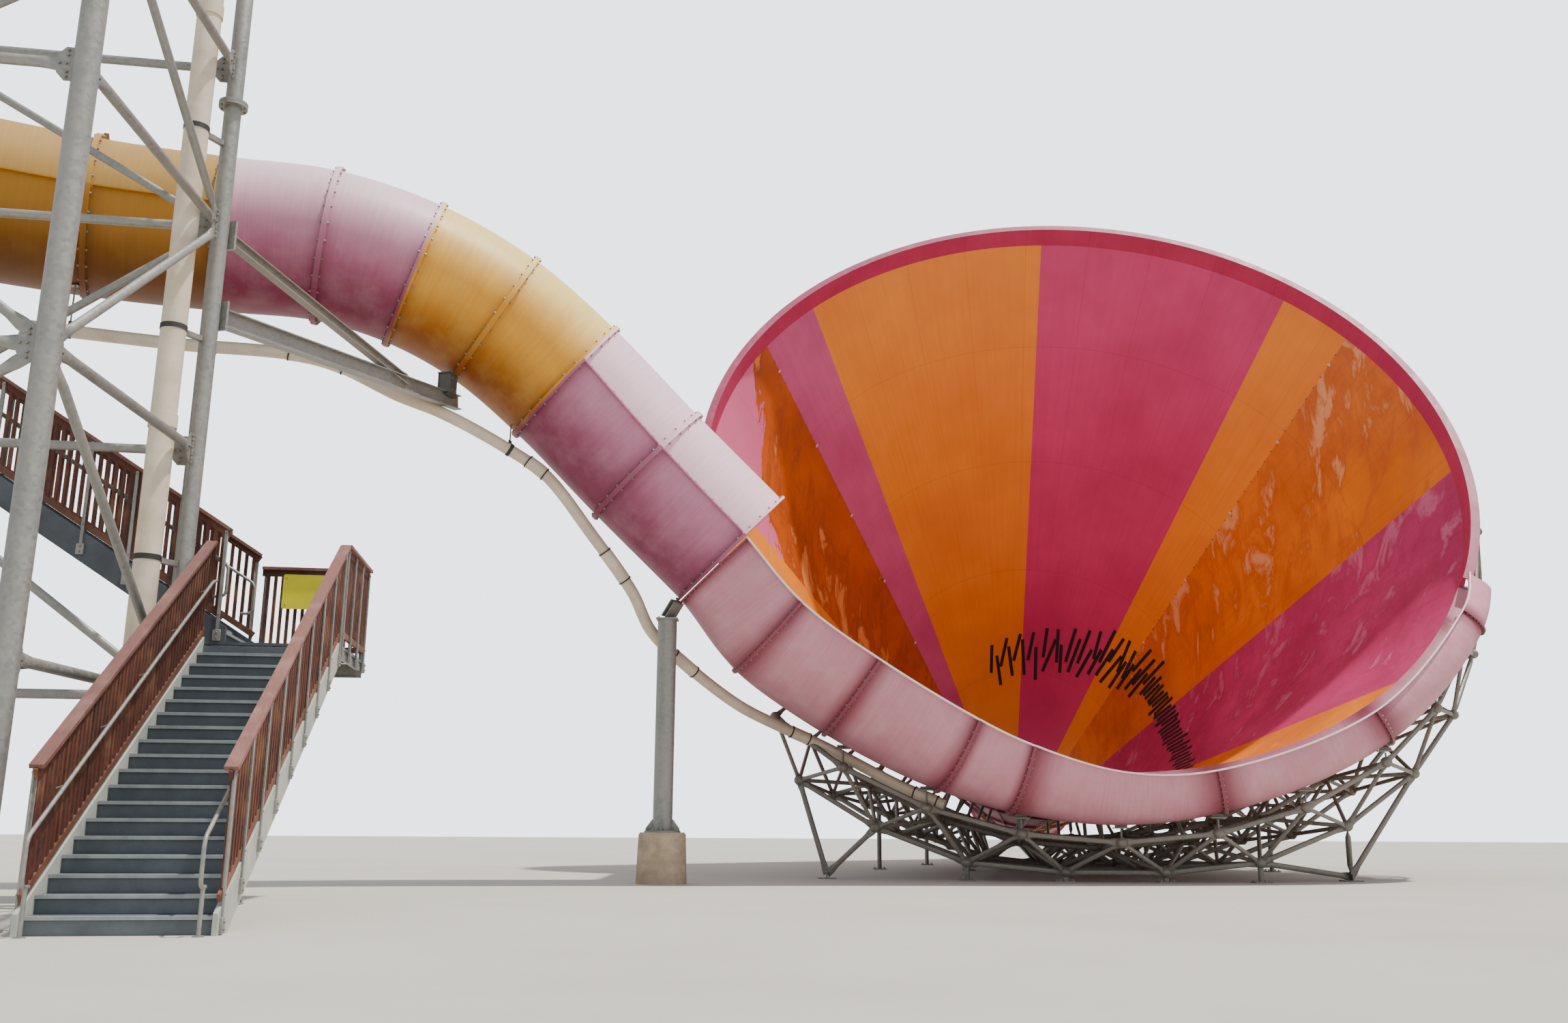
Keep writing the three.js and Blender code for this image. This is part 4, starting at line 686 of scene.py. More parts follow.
# %% [markdown]
# The rim is a band of its own: a short straight ring with a wide pale lip that stiffens the edge,
# and half-round fins where its lengths are bolted together.

# %% Rim band and lip
BAND_START, BAND_END = -28.0, 206.0
FIN_R, LIP_DEEP, BEVEL = 0.26, 0.03, 0.008
OUT_R = BAND_R + WALL
BACK, FRONT = BAND_DEPTH - GAP, BAND_DEPTH - FLANGE_THICK
band_outline = [(BAND_R, LIP_DEEP), (BAND_R, BACK), (OUT_R + FLANGE, BACK), (OUT_R + FLANGE, FRONT),
                (OUT_R, FRONT), (OUT_R, LIP_DEEP)]
lip_outline = [(BAND_R - 0.004, 0.0), (BAND_R - 0.004, LIP_DEEP), (RIM_R - BEVEL, LIP_DEEP),
               (RIM_R, LIP_DEEP - BEVEL), (RIM_R, BEVEL), (RIM_R - BEVEL, 0.0)]


def fin(angle):
    """A half disc that stands on the band across one of its joints."""
    turn = np.linspace(-math.pi / 2, math.pi / 2, 18)
    flat = cone_point(angle, OUT_R - 0.01 + FIN_R * np.cos(turn), BAND_DEPTH / 2 + FIN_R * np.sin(turn))
    half = round_at(angle) * 0.02
    return skin(np.stack([flat - half, flat + half]), (1.0, angle + 3, 0), 2)


for name, start, end in (("right", BAND_START, 30.5), ("top_right", 30.5, 89.2),
                         ("top_left", 89.2, 149.2), ("left", 149.2, BAND_END)):
    angles = np.linspace(start + HAIR, end - HAIR, int((end - start) / 1.5))
    parts = [spun(band_outline, angles), spun(lip_outline, angles, 1)]
    for angle in np.arange(-14.0, 194.0, 2 * PANEL_JOINT):
        if start + 2 < angle < end - 2:
            turn = np.linspace(-1.1, 1.1, 5)
            spots = cone_point(angle, OUT_R + 0.18 * np.cos(turn), BAND_DEPTH / 2 + 0.19 * np.sin(turn))
            across = round_at(angle)
            parts += [fin(angle), hex_bolts(spots + across * 0.02, across, 0.036, 0.018, 3)]
    rim_bolts = cone_point(np.arange(start + 1.5, end - 1, 2.6), OUT_R + 0.07, FRONT)
    parts.append(hex_bolts(rim_bolts, -INWARD, 0.036, 0.02, 3))
    piece(f"rim_{name}", parts, [rim_red, lip_pink, fin_red_painted_shade, bolt_zinc],
          [f"rim_band_{name}"])

# %% Collar at the small end
COLLAR_LENGTH = 0.6
bore = cone_radius(EXIT_DEPTH)
outer, wide = bore + WALL, bore + WALL + FLANGE - 0.012
near, far = EXIT_DEPTH + GAP, EXIT_DEPTH + COLLAR_LENGTH
near_in, far_in = near + FLANGE_THICK, far - FLANGE_THICK
collar = [(bore, near), (bore, far), (wide, far), (wide, far_in), (outer, far_in), (outer, near_in),
          (wide, near_in), (wide, near)]
bolts = hex_bolts(cone_point(np.arange(0, 360, 10.0), outer + 0.06, far_in), -INWARD, 0.04, 0.022)
piece("cone_exit_collar", [spun(collar, np.arange(0, 360, 3.0), 0, 2, True), bolts],
      [cone_magenta, bolt_zinc], ["funnel_exit_collar"])

# %% [markdown]
# The flume follows a smooth curve through its joints. A centripetal Catmull-Rom curve passes through
# every joint without loops: between two joints it is the cubic whose end slopes come from the
# neighbours, weighted by the square roots of the distances.

# %% Curves through points
def curve_point(points, t):
    """Points at t from 0 to 1 on the curve; a mirrored neighbour stands before the first and after
    the last point."""
    p = np.vstack([2 * points[0] - points[1], points, 2 * points[-1] - points[-2]])
    spans = len(points) - 1
    t = np.atleast_1d(t) * spans
    i = np.clip(np.floor(t).astype(int), 0, spans - 1)
    w = (t - i)[:, None]
    p0, p1, p2, p3 = (p[i + k] for k in range(4))
    d0, d1, d2 = (np.sqrt(np.linalg.norm(b - a, axis=1))[:, None] for a, b in ((p0, p1), (p1, p2), (p2, p3)))
    m1 = ((p1 - p0) / d0 - (p2 - p0) / (d0 + d1) + (p2 - p1) / d1) * d1
    m2 = ((p2 - p1) / d1 - (p3 - p1) / (d1 + d2) + (p3 - p2) / d2) * d1
    return ((2 * w ** 3 - 3 * w ** 2 + 1) * p1 + (w ** 3 - 2 * w ** 2 + w) * m1
            + (-2 * w ** 3 + 3 * w ** 2) * p2 + (w ** 3 - w ** 2) * m2)


def curve_tangent(points, t):
    """The direction of the curve, from two points close before and after."""
    return unit(curve_point(points, np.minimum(t + 1e-4, 1)) - curve_point(points, np.maximum(t - 1e-4, 0)))


# %% [markdown]
# A closed flume is moulded in half shells. Each length has an upper and a lower half, bolted
# together along a low flange at mid height, and the lengths are bolted end to end through round
# flanges. The upper halves face the sun, so they are bleached almost white.

# %% Tube
TUBE_R, TUBE_BORE, TUBE_FLANGE, RING_THICK = 1.35, 1.33, 1.43, 0.045
TUBE_JOINTS = np.array([
    [-15.4, 19.6, 11.15], [-11.9, 21.4, 11.15], [-9.9, 22.05, 11.15], [-8.22, 22.45, 11.12],
    [-6.78, 23.0, 10.82], [-5.41, 23.6, 10.18], [-4.13, 24.2, 9.18], [-2.6, 24.7, 7.68],
    [-1.0, 25.1, 6.14], [0.17, 25.35, 4.95]])
TUBE_SPANS = len(TUBE_JOINTS) - 1
TUBE_SIDES, FLANGE_BOLTS = 72, 28


def tube_frame(t):
    """Centre, tangent, level side and top of the tube at t."""
    centre, tangent = curve_point(TUBE_JOINTS, t), curve_tangent(TUBE_JOINTS, t)
    side = unit(np.cross(tangent, UP))
    return centre, tangent, side, np.cross(side, tangent)


def joint_frame(joint):
    """The same at one joint, as four vectors."""
    return (x[0] for x in tube_frame(joint / TUBE_SPANS))


def tube_segment(i):
    """Outer wall with two end flanges, then the bore back to the start, closed into a ring."""
    a, b = i / TUBE_SPANS, (i + 1) / TUBE_SPANS
    between = np.linspace(a, b, 11)[1:-1]
    table = [(a, TUBE_FLANGE, GAP / 2), (a, TUBE_FLANGE, RING_THICK), (a, TUBE_R, RING_THICK + 0.004)]
    end = [(b, radius, -shift) for _, radius, shift in table[::-1]]
    table += [(t, TUBE_R, 0) for t in between] + end + [(b, TUBE_BORE, -GAP / 2)]
    table += [(t, TUBE_BORE, 0) for t in between[::-1]] + [(a, TUBE_BORE, GAP / 2)]
    t, radius, shift = np.array(table).T[..., None]
    centre, tangent, side, top = tube_frame(t[:, 0])
    rows = (centre + tangent * shift)[:, None] + radius[:, None] * ring(side, top, TUBE_SIDES)
    # Height round the tube, 0 at the bottom and 1 at the top; the finish paints the bottom deep, partly as
    # painted shade
    height = 0.5 + 0.5 * np.sin(2 * np.pi * np.arange(TUBE_SIDES) / TUBE_SIDES)
    along = (t - a) / (b - a)
    length = np.linalg.norm(TUBE_JOINTS[i + 1] - TUBE_JOINTS[i])
    return skin(rows, (along, height, i * 3.7 + along * length), closed=True)


def tube_seam(i, direction):
    """The bolted flange at mid height: a thin strip that stands out from one side of the tube."""
    a, b = i / TUBE_SPANS, (i + 1) / TUBE_SPANS
    t = np.linspace(a + 0.004, b - 0.004, 12)
    centre, _, side, top = tube_frame(t)
    corners = [(-0.01, -0.012), (0.06, -0.012), (0.06, 0.012), (-0.01, 0.012)]
    rows = np.stack([centre + side * direction * (TUBE_R + r) + top * h for r, h in corners], 1)
    strip = skin(rows, (0.5, 0.42, (t * 30)[:, None]))
    centre, _, side, top = tube_frame(np.linspace(a + 0.012, b - 0.012, 9))
    spots = centre + side * direction * (TUBE_R + 0.032) + top * 0.012
    return [strip, hex_bolts(spots, top, 0.034, 0.016)]


segment_finish = [flume_yellow_seamed_painted_shade] * 2 + [flume_pink] * 2 + [flume_yellow] * 2 + [flume_pink_seamed] * 2
for i, body in enumerate(segment_finish):
    parts = [tube_segment(i)]
    if "seamed" in body.name:
        parts += tube_seam(i, 1) + tube_seam(i, -1)
    for joint, back in ((i, 1), (i + 1, -1)):
        centre, tangent, side, top = joint_frame(joint)
        around = ring(side, top, FLANGE_BOLTS, math.pi / FLANGE_BOLTS)
        spots = centre + around * (TUBE_R + 0.042) + tangent * RING_THICK * back
        parts.append(hex_bolts(spots, tangent * back, 0.045, 0.03))
    if i == 1:
        # A lifting block stands on the first flange
        centre, tangent, side, top = joint_frame(i)
        block_at = centre + top * (TUBE_FLANGE + 0.03) + tangent * 0.04
        parts.append(boxes(block_at, tangent * 0.04, side * 0.17, top * 0.07))
    name = f"tube_segment_{i + 1}"
    piece(f"flume_{name}", parts, [body, bolt_zinc], [name])

# %% [markdown]
# Past the tube the flume is an open channel. Its outer lip follows a curve of its own, its inner
# edge runs onto the rim of the cone, and between them hangs half an ellipse. Where the channel
# reaches the plane of the mouth it is cut off flat, and so are its two ends.

# %% Channel
# Each station: a point of the lip, the angle on the mouth that it faces, and the channel's depth
STATIONS = np.array([
    (-0.67, 23.79, 6.1, 204, 1.35), (0.33, 24.0, 4.96, 219, 1.4), (1.77, 24.4, 3.97, 232, 1.27),
    (3.59, 24.7, 2.92, 247, 1.19), (4.6, 24.8, 2.47, 256, 1.12), (6.24, 25.0, 2.03, 268, 0.98),
    (8.07, 25.3, 2.09, 281, 0.83), (11.43, 26.1, 3.27, 304, 0.7), (14.01, 27.5, 5.46, 325, 0.62),
    (14.96, 28.88, 6.56, 334, 0.56)])
CHANNEL_RIBS = [0, 1, 2, 3, 4, 6, 7, 8, 9]
LIP_LINE, LIP_ANGLE, LIP_DEPTH = STATIONS[:, :3], STATIONS[:, 3], STATIONS[:, 4]
CHANNEL_SPANS = len(STATIONS) - 1
ARC_STEPS = 30
SHEET, RIB_WALL, LIP_WIDTH, LIP_THICK = 0.02, 0.08, 0.10, 0.03


def channel_value(t, values):
    """A station's value, in straight lines between stations."""
    return np.interp(t * CHANNEL_SPANS, np.arange(CHANNEL_SPANS + 1), values)


def inner_edge(t):
    """Beside the tube the inner edge is level with the lip; further on it lies on the mouth."""
    on_mouth = cone_point(channel_value(t, LIP_ANGLE), BAND_R, 0.33)
    across = unit(np.cross(UP, curve_tangent(LIP_LINE, t)))
    beside = curve_point(LIP_LINE, t) + across * 2 * TUBE_BORE
    s = np.clip((t * CHANNEL_SPANS - 0.8) / 1.2, 0, 1)[:, None]
    return beside + (on_mouth - beside) * s * s * (3 - 2 * s)


def channel_middle(t):
    """Half way between the lip and the inner edge."""
    return (curve_point(LIP_LINE, t) + inner_edge(t)) / 2


def channel_frame(t):
    """Middle, direction, half the span and the downward normal of the channel at t."""
    tangent = unit(channel_middle(np.minimum(t + 0.002, 1)) - channel_middle(np.maximum(t - 0.002, 0)))
    half = channel_middle(t) - curve_point(LIP_LINE, t)
    down = unit(np.cross(half, tangent))
    return channel_middle(t), tangent, half, np.where(down[:, 2:] > 0, -down, down)


def channel_arc(t, turn):
    """Points inside the half ellipse at the angles turn, and the directions straight out of it."""
    middle, tangent, half, down = (x[:, None] for x in channel_frame(t))
    cos, sin = np.cos(turn)[:, None], np.sin(turn)[:, None]
    depth = channel_value(t, LIP_DEPTH)[:, None, None]
    size = np.linalg.norm(half, axis=-1, keepdims=True)
    out = unit(-unit(half) * cos * depth + down * sin * size)
    return middle - half * cos + down * depth * sin, out


def channel_rows(t, wall, shift):
    """The channel's outline at each t: inside from the lip down and up to the mouth, then back."""
    middle, tangent, half, down = channel_frame(t)
    wall = np.broadcast_to(wall, len(t))[:, None]
    inside, out = channel_arc(t, np.linspace(0, np.pi, ARC_STEPS + 1))
    outside = inside + out * wall[..., None]
    outside[:, 0] += down * LIP_THICK
    outside[:, -1] += down * wall
    mouth = cone_point(channel_value(t, LIP_ANGLE), BAND_R, 0.67)
    edge = middle - half - unit(half) * LIP_WIDTH
    ends = [x[:, None] for x in (mouth, mouth + down * wall, edge + down * LIP_THICK, edge)]
    rows = np.concatenate([inside, *ends[:2], outside[:, ::-1], *ends[2:]], 1)
    return rows + (tangent * np.reshape(shift, (-1, 1)))[:, None]


def channel_segment(k):
    """One length of channel with a rib at each end, as a closed skin, and the bolts of its ribs."""
    a, b = CHANNEL_RIBS[k] / CHANNEL_SPANS, CHANNEL_RIBS[k + 1] / CHANNEL_SPANS
    table = [(a, RIB_WALL, GAP / 2), (a, RIB_WALL, 0.03), (a, SHEET, 0.034)]
    end = [(b, wall, -shift) for _, wall, shift in table[::-1]]
    table += [(t, SHEET, 0) for t in np.linspace(a, b, 15)[1:-1]] + end
    t, wall, shift = np.array(table).T
    # On the outside the height climbs as a power of 1.5 from the underside to the lip, so the deep colour
    # spreads as painted shade over the underside
    high, low = np.linspace(0.97, 0.5, ARC_STEPS + 1), 0.98 * np.linspace(0, 1, ARC_STEPS + 1) ** 1.5
    height = np.concatenate([high, [0.5, 0.5], low, [1.0, 1.0]])
    place = ((t - a)[:, None] / (b - a), height, (t * 28)[:, None])
    made = [skin(channel_rows(t, wall, shift), place)]
    for rib, side in ((a, 1), (b, -1)):
        t = np.array([rib])
        spots, out = channel_arc(t, np.radians(np.linspace(12, 100, 12)))
        tangent = channel_frame(t)[1] * side
        made.append(hex_bolts(spots[0] + out[0] * 0.052 + tangent * 0.03, tangent, 0.034, 0.02))
    return made


def mouth_cuts():
    """Planes that end the channel: behind the mouth's face, and at the two ends of the rim band."""
    cuts = [(MOUTH_CENTRE + INWARD * BACK, INWARD)]
    for angle in (BAND_END, BAND_START):
        normal = round_at(angle) * (-1 if np.dot(round_at(angle), outward_at(270.0)) > 0 else 1)
        cuts.append((MOUTH_CENTRE - normal * 0.001, normal))
    return cuts


for k in range(len(CHANNEL_RIBS) - 1):
    name = f"channel_segment_{k + 1}"
    piece(f"flume_{name}", channel_segment(k), [channel_pink, bolt_zinc], [name],
          mouth_cuts())

# %% [markdown]
# A space frame is a truss in two layers: nodes of the upper layer under the cone, nodes of the lower
# layer half a bay away, and pipes between each and its four neighbours. The nodes are laid out as
# arrays of angle and depth, and each family of pipes is one call. Pads on the front row of nodes
# carry the channel: each reaches up to the lowest point of the channel right over its node.

# %% Nodes of the space frame
FRAME_MIDDLE, FRAME_BAY, FRAME_BAY_WIDER = 268.2, 10.0, 1.65
FRAME_FIRST, FRAME_LAST, ROWS, ROW_PITCH = -4, 7, 6, 2.0
FRAME_LOWEST = 0.18
CHORD_R, WEB_R, POST_R = 0.052, 0.042, 0.055
FRAME_FEET = np.array([[0.9, 28.0, 0.0], [11.4, 27.9, 0.0]])


def frame_place(k, row):
    """Angle: ten degrees a bay, and wider bays from the third one to the right. Depth: the front
    leans back at the right by a smooth step of 0.7 m from 290 to 335 degrees."""
    angle = FRAME_MIDDLE + FRAME_BAY * k + FRAME_BAY_WIDER * np.maximum(0, k - 2)
    s = np.clip((angle - 290) / 45, 0, 1)
    return angle, (0.05 + 0.7 * s * s * (3 - 2 * s)) * np.clip(1 - row / 5, 0, 1) + ROW_PITCH * row


def frame_nodes(k, row, lower):
    """Upper nodes hang under the shell by a clearance; lower nodes lie deeper, never in the ground."""
    angle, depth = frame_place(k, row)
    front = 0.45 + 1.05 * np.cos(np.radians(np.minimum(np.abs(angle - 256), 90))) ** 2
    fade = np.clip((depth - 2) / 4, 0, 1)
    rear = np.interp(depth, [6.1, 10.1, 13.6], [0.9, 0.8, 0.6])
    clear = front * (1 - fade) + rear * fade + (0.8 if lower else 0.0)
    nodes = wall_point(angle, depth, WALL + clear)
    nodes[..., 2] = np.maximum(nodes[..., 2], FRAME_LOWEST if lower else FRAME_LOWEST + 0.3)
    return nodes


k, row = np.meshgrid(np.arange(FRAME_FIRST, FRAME_LAST + 1), np.arange(ROWS), indexing="ij")
upper = frame_nodes(k, row, False)
lower = frame_nodes(k[:-1, :-1] + 0.5, row[:-1, :-1] + 0.5, True)
shell = wall_point(*frame_place(k, row), WALL - 0.005)
print("upper nodes:", upper.shape, "lower nodes:", lower.shape, "lowest:", upper[..., 2].min().round(2))

under = channel_rows(np.linspace(0.08, 0.995, 240), SHEET, 0.0).reshape(-1, 3)
under = under[np.sum((under - MOUTH_CENTRE) * INWARD, -1) < BAND_DEPTH]
pads, pad_feet = [], []
for node in upper[1:, 0]:
    near = np.linalg.norm(under[:, :2] - node[:2], axis=1) < 0.14
    near &= under[:, 2] > node[2] + 0.1
    if near.any():
        pads.append([node[0], node[1], under[near, 2].min() - 0.05])
        pad_feet.append(node)
pads = np.array(pads)
print("pads under the channel:", len(pads))

# %% [markdown]
# The members are pipes with their ends pressed flat and bolted between the plates of a node, as
# farm and fairground frames are made. A flat end is the same ring of points, wide one way and thin
# the other, so a whole family of such pipes is still one array.

# %% Pipes, balls, pads and feet
NODE_BALL = [(0.0, -0.10), (0.05, -0.10), (0.10, -0.055), (0.115, 0.0),
             (0.10, 0.055), (0.05, 0.10), (0.0, 0.10)]
bare = np.linalg.norm(upper[:, 0, None, :2] - pads[:, :2], axis=-1).min(1) > 0.01
families = [(upper[:-1], upper[1:], CHORD_R, 0), (upper[:, :-1], upper[:, 1:], WEB_R, 1),
            (lower[:-1], lower[1:], CHORD_R, 0), (lower[:, :-1], lower[:, 1:], WEB_R, 1),
            (lower, upper[:-1, :-1], WEB_R, 1), (lower, upper[1:, :-1], WEB_R, 0),
            (lower, upper[:-1, 1:], WEB_R, 1), (lower, upper[1:, 1:], WEB_R, 1),
            (upper[:, 1:], shell[:, 1:], WEB_R, 1), (upper[bare, 0], shell[bare, 0], WEB_R, 0)]
frame_parts = [bars(a.reshape(-1, 3), b.reshape(-1, 3), radius, 8, material, pressed=True)
               for a, b, radius, material in families]
feet_from = np.concatenate([lower[0:2, 0], lower[5:8, 0]])
ground = np.concatenate([lower[2:6, 0], upper[0:9:2, 3], upper[0:9:2, 5]])
on_floor = ground * [1, 1, 0]
corner = np.array([[x, y, 0.024] for x in (-0.12, 0.12) for y in (-0.12, 0.12)])
frame_parts += turned(np.concatenate([upper.reshape(-1, 3), lower.reshape(-1, 3)]), UP, NODE_BALL, 10)
frame_parts += [
    bars(pad_feet, pads - UP * 0.03, 0.02),
    blocks(pads, 0.15, 0.08, 0.012),
    blocks(pads + UP * 0.03, 0.12, 0.006, 0.04),
    bars(feet_from, FRAME_FEET[[0, 0, 1, 1, 1]] + UP * 0.09, 0.055, 12, pressed=True),
    blocks(FRAME_FEET + UP * 0.012, 0.18, 0.18, 0.012),
    blocks(FRAME_FEET + UP * 0.08, 0.012, 0.12, 0.06),
    bars(on_floor, ground, POST_R, 12),
    blocks(on_floor + UP * 0.012, 0.16, 0.16, 0.012),
    hex_bolts((on_floor[:, None] + corner).reshape(-1, 3), UP, 0.036, 0.03, 2),
]
piece("space_frame_pipes", frame_parts, [frame_zinc_painted_shade, zinc_dusty, bolt_zinc],
      ["space_frame_left", "space_frame_centre", "space_frame_right"], smooth=40)

# %% [markdown]
# The tower is four thick pipes, braced on each face by level pipes and a zigzag of diagonals. Their
# ends are pressed flat and bolted to plates welded on the legs. The legs come in two lengths, so
# each has a pair of bolted flanges near its top.

# %% Tower legs
FRONT_RIGHT, BACK_RIGHT = np.array([-7.64, 13.2, 0.0]), np.array([-7.85, 17.3, 0.0])
LEFTWARD = unit(np.array([-0.987, -0.158, 0.0])) * 4.3
LEGS = {"front_right": FRONT_RIGHT, "back_right": BACK_RIGHT,
        "front_left": FRONT_RIGHT + LEFTWARD, "back_left": BACK_RIGHT + LEFTWARD}
LEG_R = {name: 0.136 if "front" in name else 0.115 for name in LEGS}
TOWER_TOP, SPLICE_Z = 14.7, 10.94
EIGHT = ring(EAST, NORTH, 8)
for name, foot in LEGS.items():
    r = LEG_R[name]
    # The splice is a pair of flanges 80 mm wide with a fine joint between them
    splice = [(0, -0.04), (0.08, -0.04), (0.08, -0.003), (0.07, -0.003)]
    splice += [(out, -z) for out, z in splice[::-1]]
    profile = [(0, 0), (r + 0.15, 0), (r + 0.15, 0.03), (r + 0.012, 0.03), (r, 0.045)]
    profile += [(r + out, SPLICE_Z + z) for out, z in splice]
    profile += [(r, TOWER_TOP - 0.02), (r - 0.01, TOWER_TOP), (0, TOWER_TOP)]
    parts = turned(foot, UP, profile, 32, tone=0.6)
    parts.append(hex_bolts(foot + EIGHT * (r + 0.105) + UP * 0.03, UP, 0.04, 0.045))
    for side in (1, -1):
        spots = foot + EIGHT * (r + 0.05) + UP * (SPLICE_Z + side * 0.04)
        parts.append(hex_bolts(spots, UP * side, 0.03, 0.02))
    piece(f"leg_{name}", parts, [zinc_grey, bolt_zinc], [f"tower_leg_{name}"])

# %% Tower bracing
BRACE_LEVELS = [2.6, 5.85, 9.07, 11.5, 14.4]
GUSSET, GUSSET_HALF = 0.30, 0.20
BRACE_BOLTS = [(0.20, 0), (0.27, 0), (0.19, -0.16), (0.19, -0.10), (0.19, 0.10), (0.19, 0.16)]


def tower_face(name_a, name_b, nodes_on_a):
    """Level pipes, diagonals and gusset plates between two legs."""
    a, b = LEGS[name_a], LEGS[name_b]
    along = unit(b - a)
    across = np.cross(UP, along)
    heights = np.array(BRACE_LEVELS)[:, None] * UP
    parts = []
    for z in heights:
        for leg, inward, r in ((a, along, LEG_R[name_a]), (b, -along, LEG_R[name_b])):
            plan = [(r - 0.01, -GUSSET_HALF), (0.22, -GUSSET_HALF), (GUSSET, -0.11), (GUSSET, 0.11),
                    (0.22, GUSSET_HALF), (r - 0.01, GUSSET_HALF)]
            parts.append(prism([leg + z + inward * x + UP * h for x, h in plan], 0.018))
            spots = np.array([leg + z + inward * x + UP * h for x, h in BRACE_BOLTS])
            parts += [hex_bolts(spots + side * 0.02, side, 0.034, 0.018) for side in (across, -across)]
    on_a = np.arange(len(heights) - 1)[:, None] % 2 == (0 if nodes_on_a else 1)
    low, high = np.where(on_a, a, b) + heights[:-1], np.where(on_a, b, a) + heights[1:]
    step = unit(high - low) * 0.24
    parts.append(bars(a + along * 0.17 + heights, b - along * 0.17 + heights, 0.062, 16, pressed=True))
    parts.append(bars(low + step, high - step, 0.055, 16, pressed=True))
    return parts


FACES = [("right", "front_right", "back_right", False), ("back", "back_left", "back_right", False),
         ("left", "front_left", "back_left", True), ("front", "front_right", "front_left", False)]
for name, a, b, on_a in FACES:
    piece(f"bracing_{name}", tower_face(a, b, on_a), [zinc_grey, bolt_zinc],
          [f"tower_bracing_{name}"])

# %% [markdown]
# Each bracket is a rolled I-beam and a sloping tie, bolted to the leg through end plates. A short
# stub at its end carries a saddle under a flange of the tube.

# %% Brackets from the tower to the tube
def i_beam(start, end, width, height, material=0):
    """Two flanges and a web: three planks with the same run."""
    side = unit(np.cross(end - start, UP))
    top = np.cross(side, unit(end - start))
    lift = top * (height - 0.018) / 2
    flanges = [plank(start + x, end + x, width, 0.018, side, material, 0.5) for x in (lift, -lift)]
    return flanges + [plank(start, end, height - 0.03, 0.012, top, material, 0.5)]


def bracket(name, beam_z, tie_z, saddle):
    """Beam and tie from a back leg to a stub under the saddle point."""
    leg = LEGS[f"back_{name}"]
    heading = unit((saddle - leg) * [1, 1, 0])
    across = np.cross(UP, heading)
    root = leg + heading * (LEG_R["back_right"] + 0.0203)
    seat = saddle - UP * 0.4
    start, end, foot = root + UP * beam_z, seat + heading * 0.23, seat - heading * 0.17
    knee = start + (end - start) * 0.73
    parts = i_beam(start, end, 0.15, 0.26, 0) + i_beam(root + UP * tie_z, knee + UP * 0.06, 0.13, 0.15, 1)
    for z in (beam_z, tie_z):
        plate = root + UP * z
        parts.append(boxes(plate, heading * 0.02, across * 0.16, UP * 0.21, 0, 0.7))
        spots = [plate + across * x + UP * h for x in (-0.12, 0.12) for h in (-0.16, 0, 0.16)]
        parts.append(hex_bolts(spots + heading * 0.02, heading, 0.045, 0.025, 2))
    gusset = [(0, -0.13), (-0.5, -0.08), (-0.5, 0.18), (0, 0.2), (0.22, 0.1)]
    parts.append(prism([knee + heading * x + UP * h for x, h in gusset], 0.014, 1))
    parts.append(boxes(foot + UP * 0.22, heading * 0.10, across * 0.11, UP * 0.20, 3, 0.3))
    for z in (0.01, 0.42):
        parts.append(boxes(foot + UP * z, heading * 0.145, across * 0.125, UP * 0.01, 3, 0.4))
    for x in (-0.118, 0.118):
        parts.append(boxes(foot + UP * 0.22 + across * x, heading * 0.12, across * 0.008, UP * 0.19, 3, 0.4))
        spots = [foot + UP * z + heading * a + across * x * 1.06 for z in (0.1, 0.33) for a in (-0.06, 0.06)]
        parts.append(hex_bolts(spots, across * np.sign(x), 0.05, 0.02, 2))
    piece(f"bracket_{name}", parts, [zinc_grey, zinc_dusty, bolt_zinc, stub_steel],
          [f"flume_bracket_{name}"])


def flange_bottom(joint):
    """The lowest point of a tube joint's flange."""
    centre, tangent, side, top = joint_frame(joint)
    return centre - top * TUBE_FLANGE


bracket("right", 7.81, 9.0, flange_bottom(5))
bracket("left", 8.6, 9.8, np.array([-13.45, 20.5, 9.81]))

# %% [markdown]
# The end of the tube rests on a steel column that stands on a round concrete pedestal. The base plate
# is bolted down, and four gussets stiffen it. The concrete's edge is chamfered.

# %% Column and pedestal
PEDESTAL_TOP, PLATE_TOP = 0.9, 0.93
pedestal = [(0, 0), (0.46, 0), (0.4262, 0.865), (0.4, PEDESTAL_TOP), (0, PEDESTAL_TOP)]
piece("pedestal_concrete", turned(COLUMN, UP, pedestal, 48), [concrete], ["column_pedestal"])
last_flange = flange_bottom(8)
top = last_flange[2] - 0.33
column = [(0, 0.9003), (0.33, 0.9003), (0.33, PLATE_TOP), (0.178, PLATE_TOP), (0.178, top), (0, top)]
gusset = [(0.17, PLATE_TOP), (0.31, PLATE_TOP), (0.31, 0.97), (0.19, 1.13), (0.17, 1.13)]
parts = turned(COLUMN, UP, column, 36, tone=0.6)
parts.append(hex_bolts(COLUMN + ring(EAST, NORTH, 8, 0.2) * 0.28 + UP * PLATE_TOP, UP, 0.045, 0.05))
for direction in (EAST, NORTH, -EAST, -NORTH):
    parts.append(prism([COLUMN + direction * x + UP * z for x, z in gusset], 0.014))
top_plate = COLUMN + UP * top
parts.append(blocks(top_plate, 0.2, 0.2, 0.014, 0, 0.7))
parts += i_beam(top_plate + UP * 0.03, last_flange - EAST * 0.015 - UP * 0.01, 0.30, 0.11)
spots = [top_plate + [x, y, 0.014] for x in (-0.15, 0.15) for y in (-0.15, 0.15)]
parts.append(hex_bolts(spots, UP, 0.04, 0.02))
piece("column_steel", parts, [zinc_grey, bolt_zinc], ["flume_column"])

# %% [markdown]
# Water climbs to the top of the tower in a cream riser pipe, and a smaller pipe hung under the flume
# carries some of it back. Pipes are circles carried along a path; black clamps hold them.

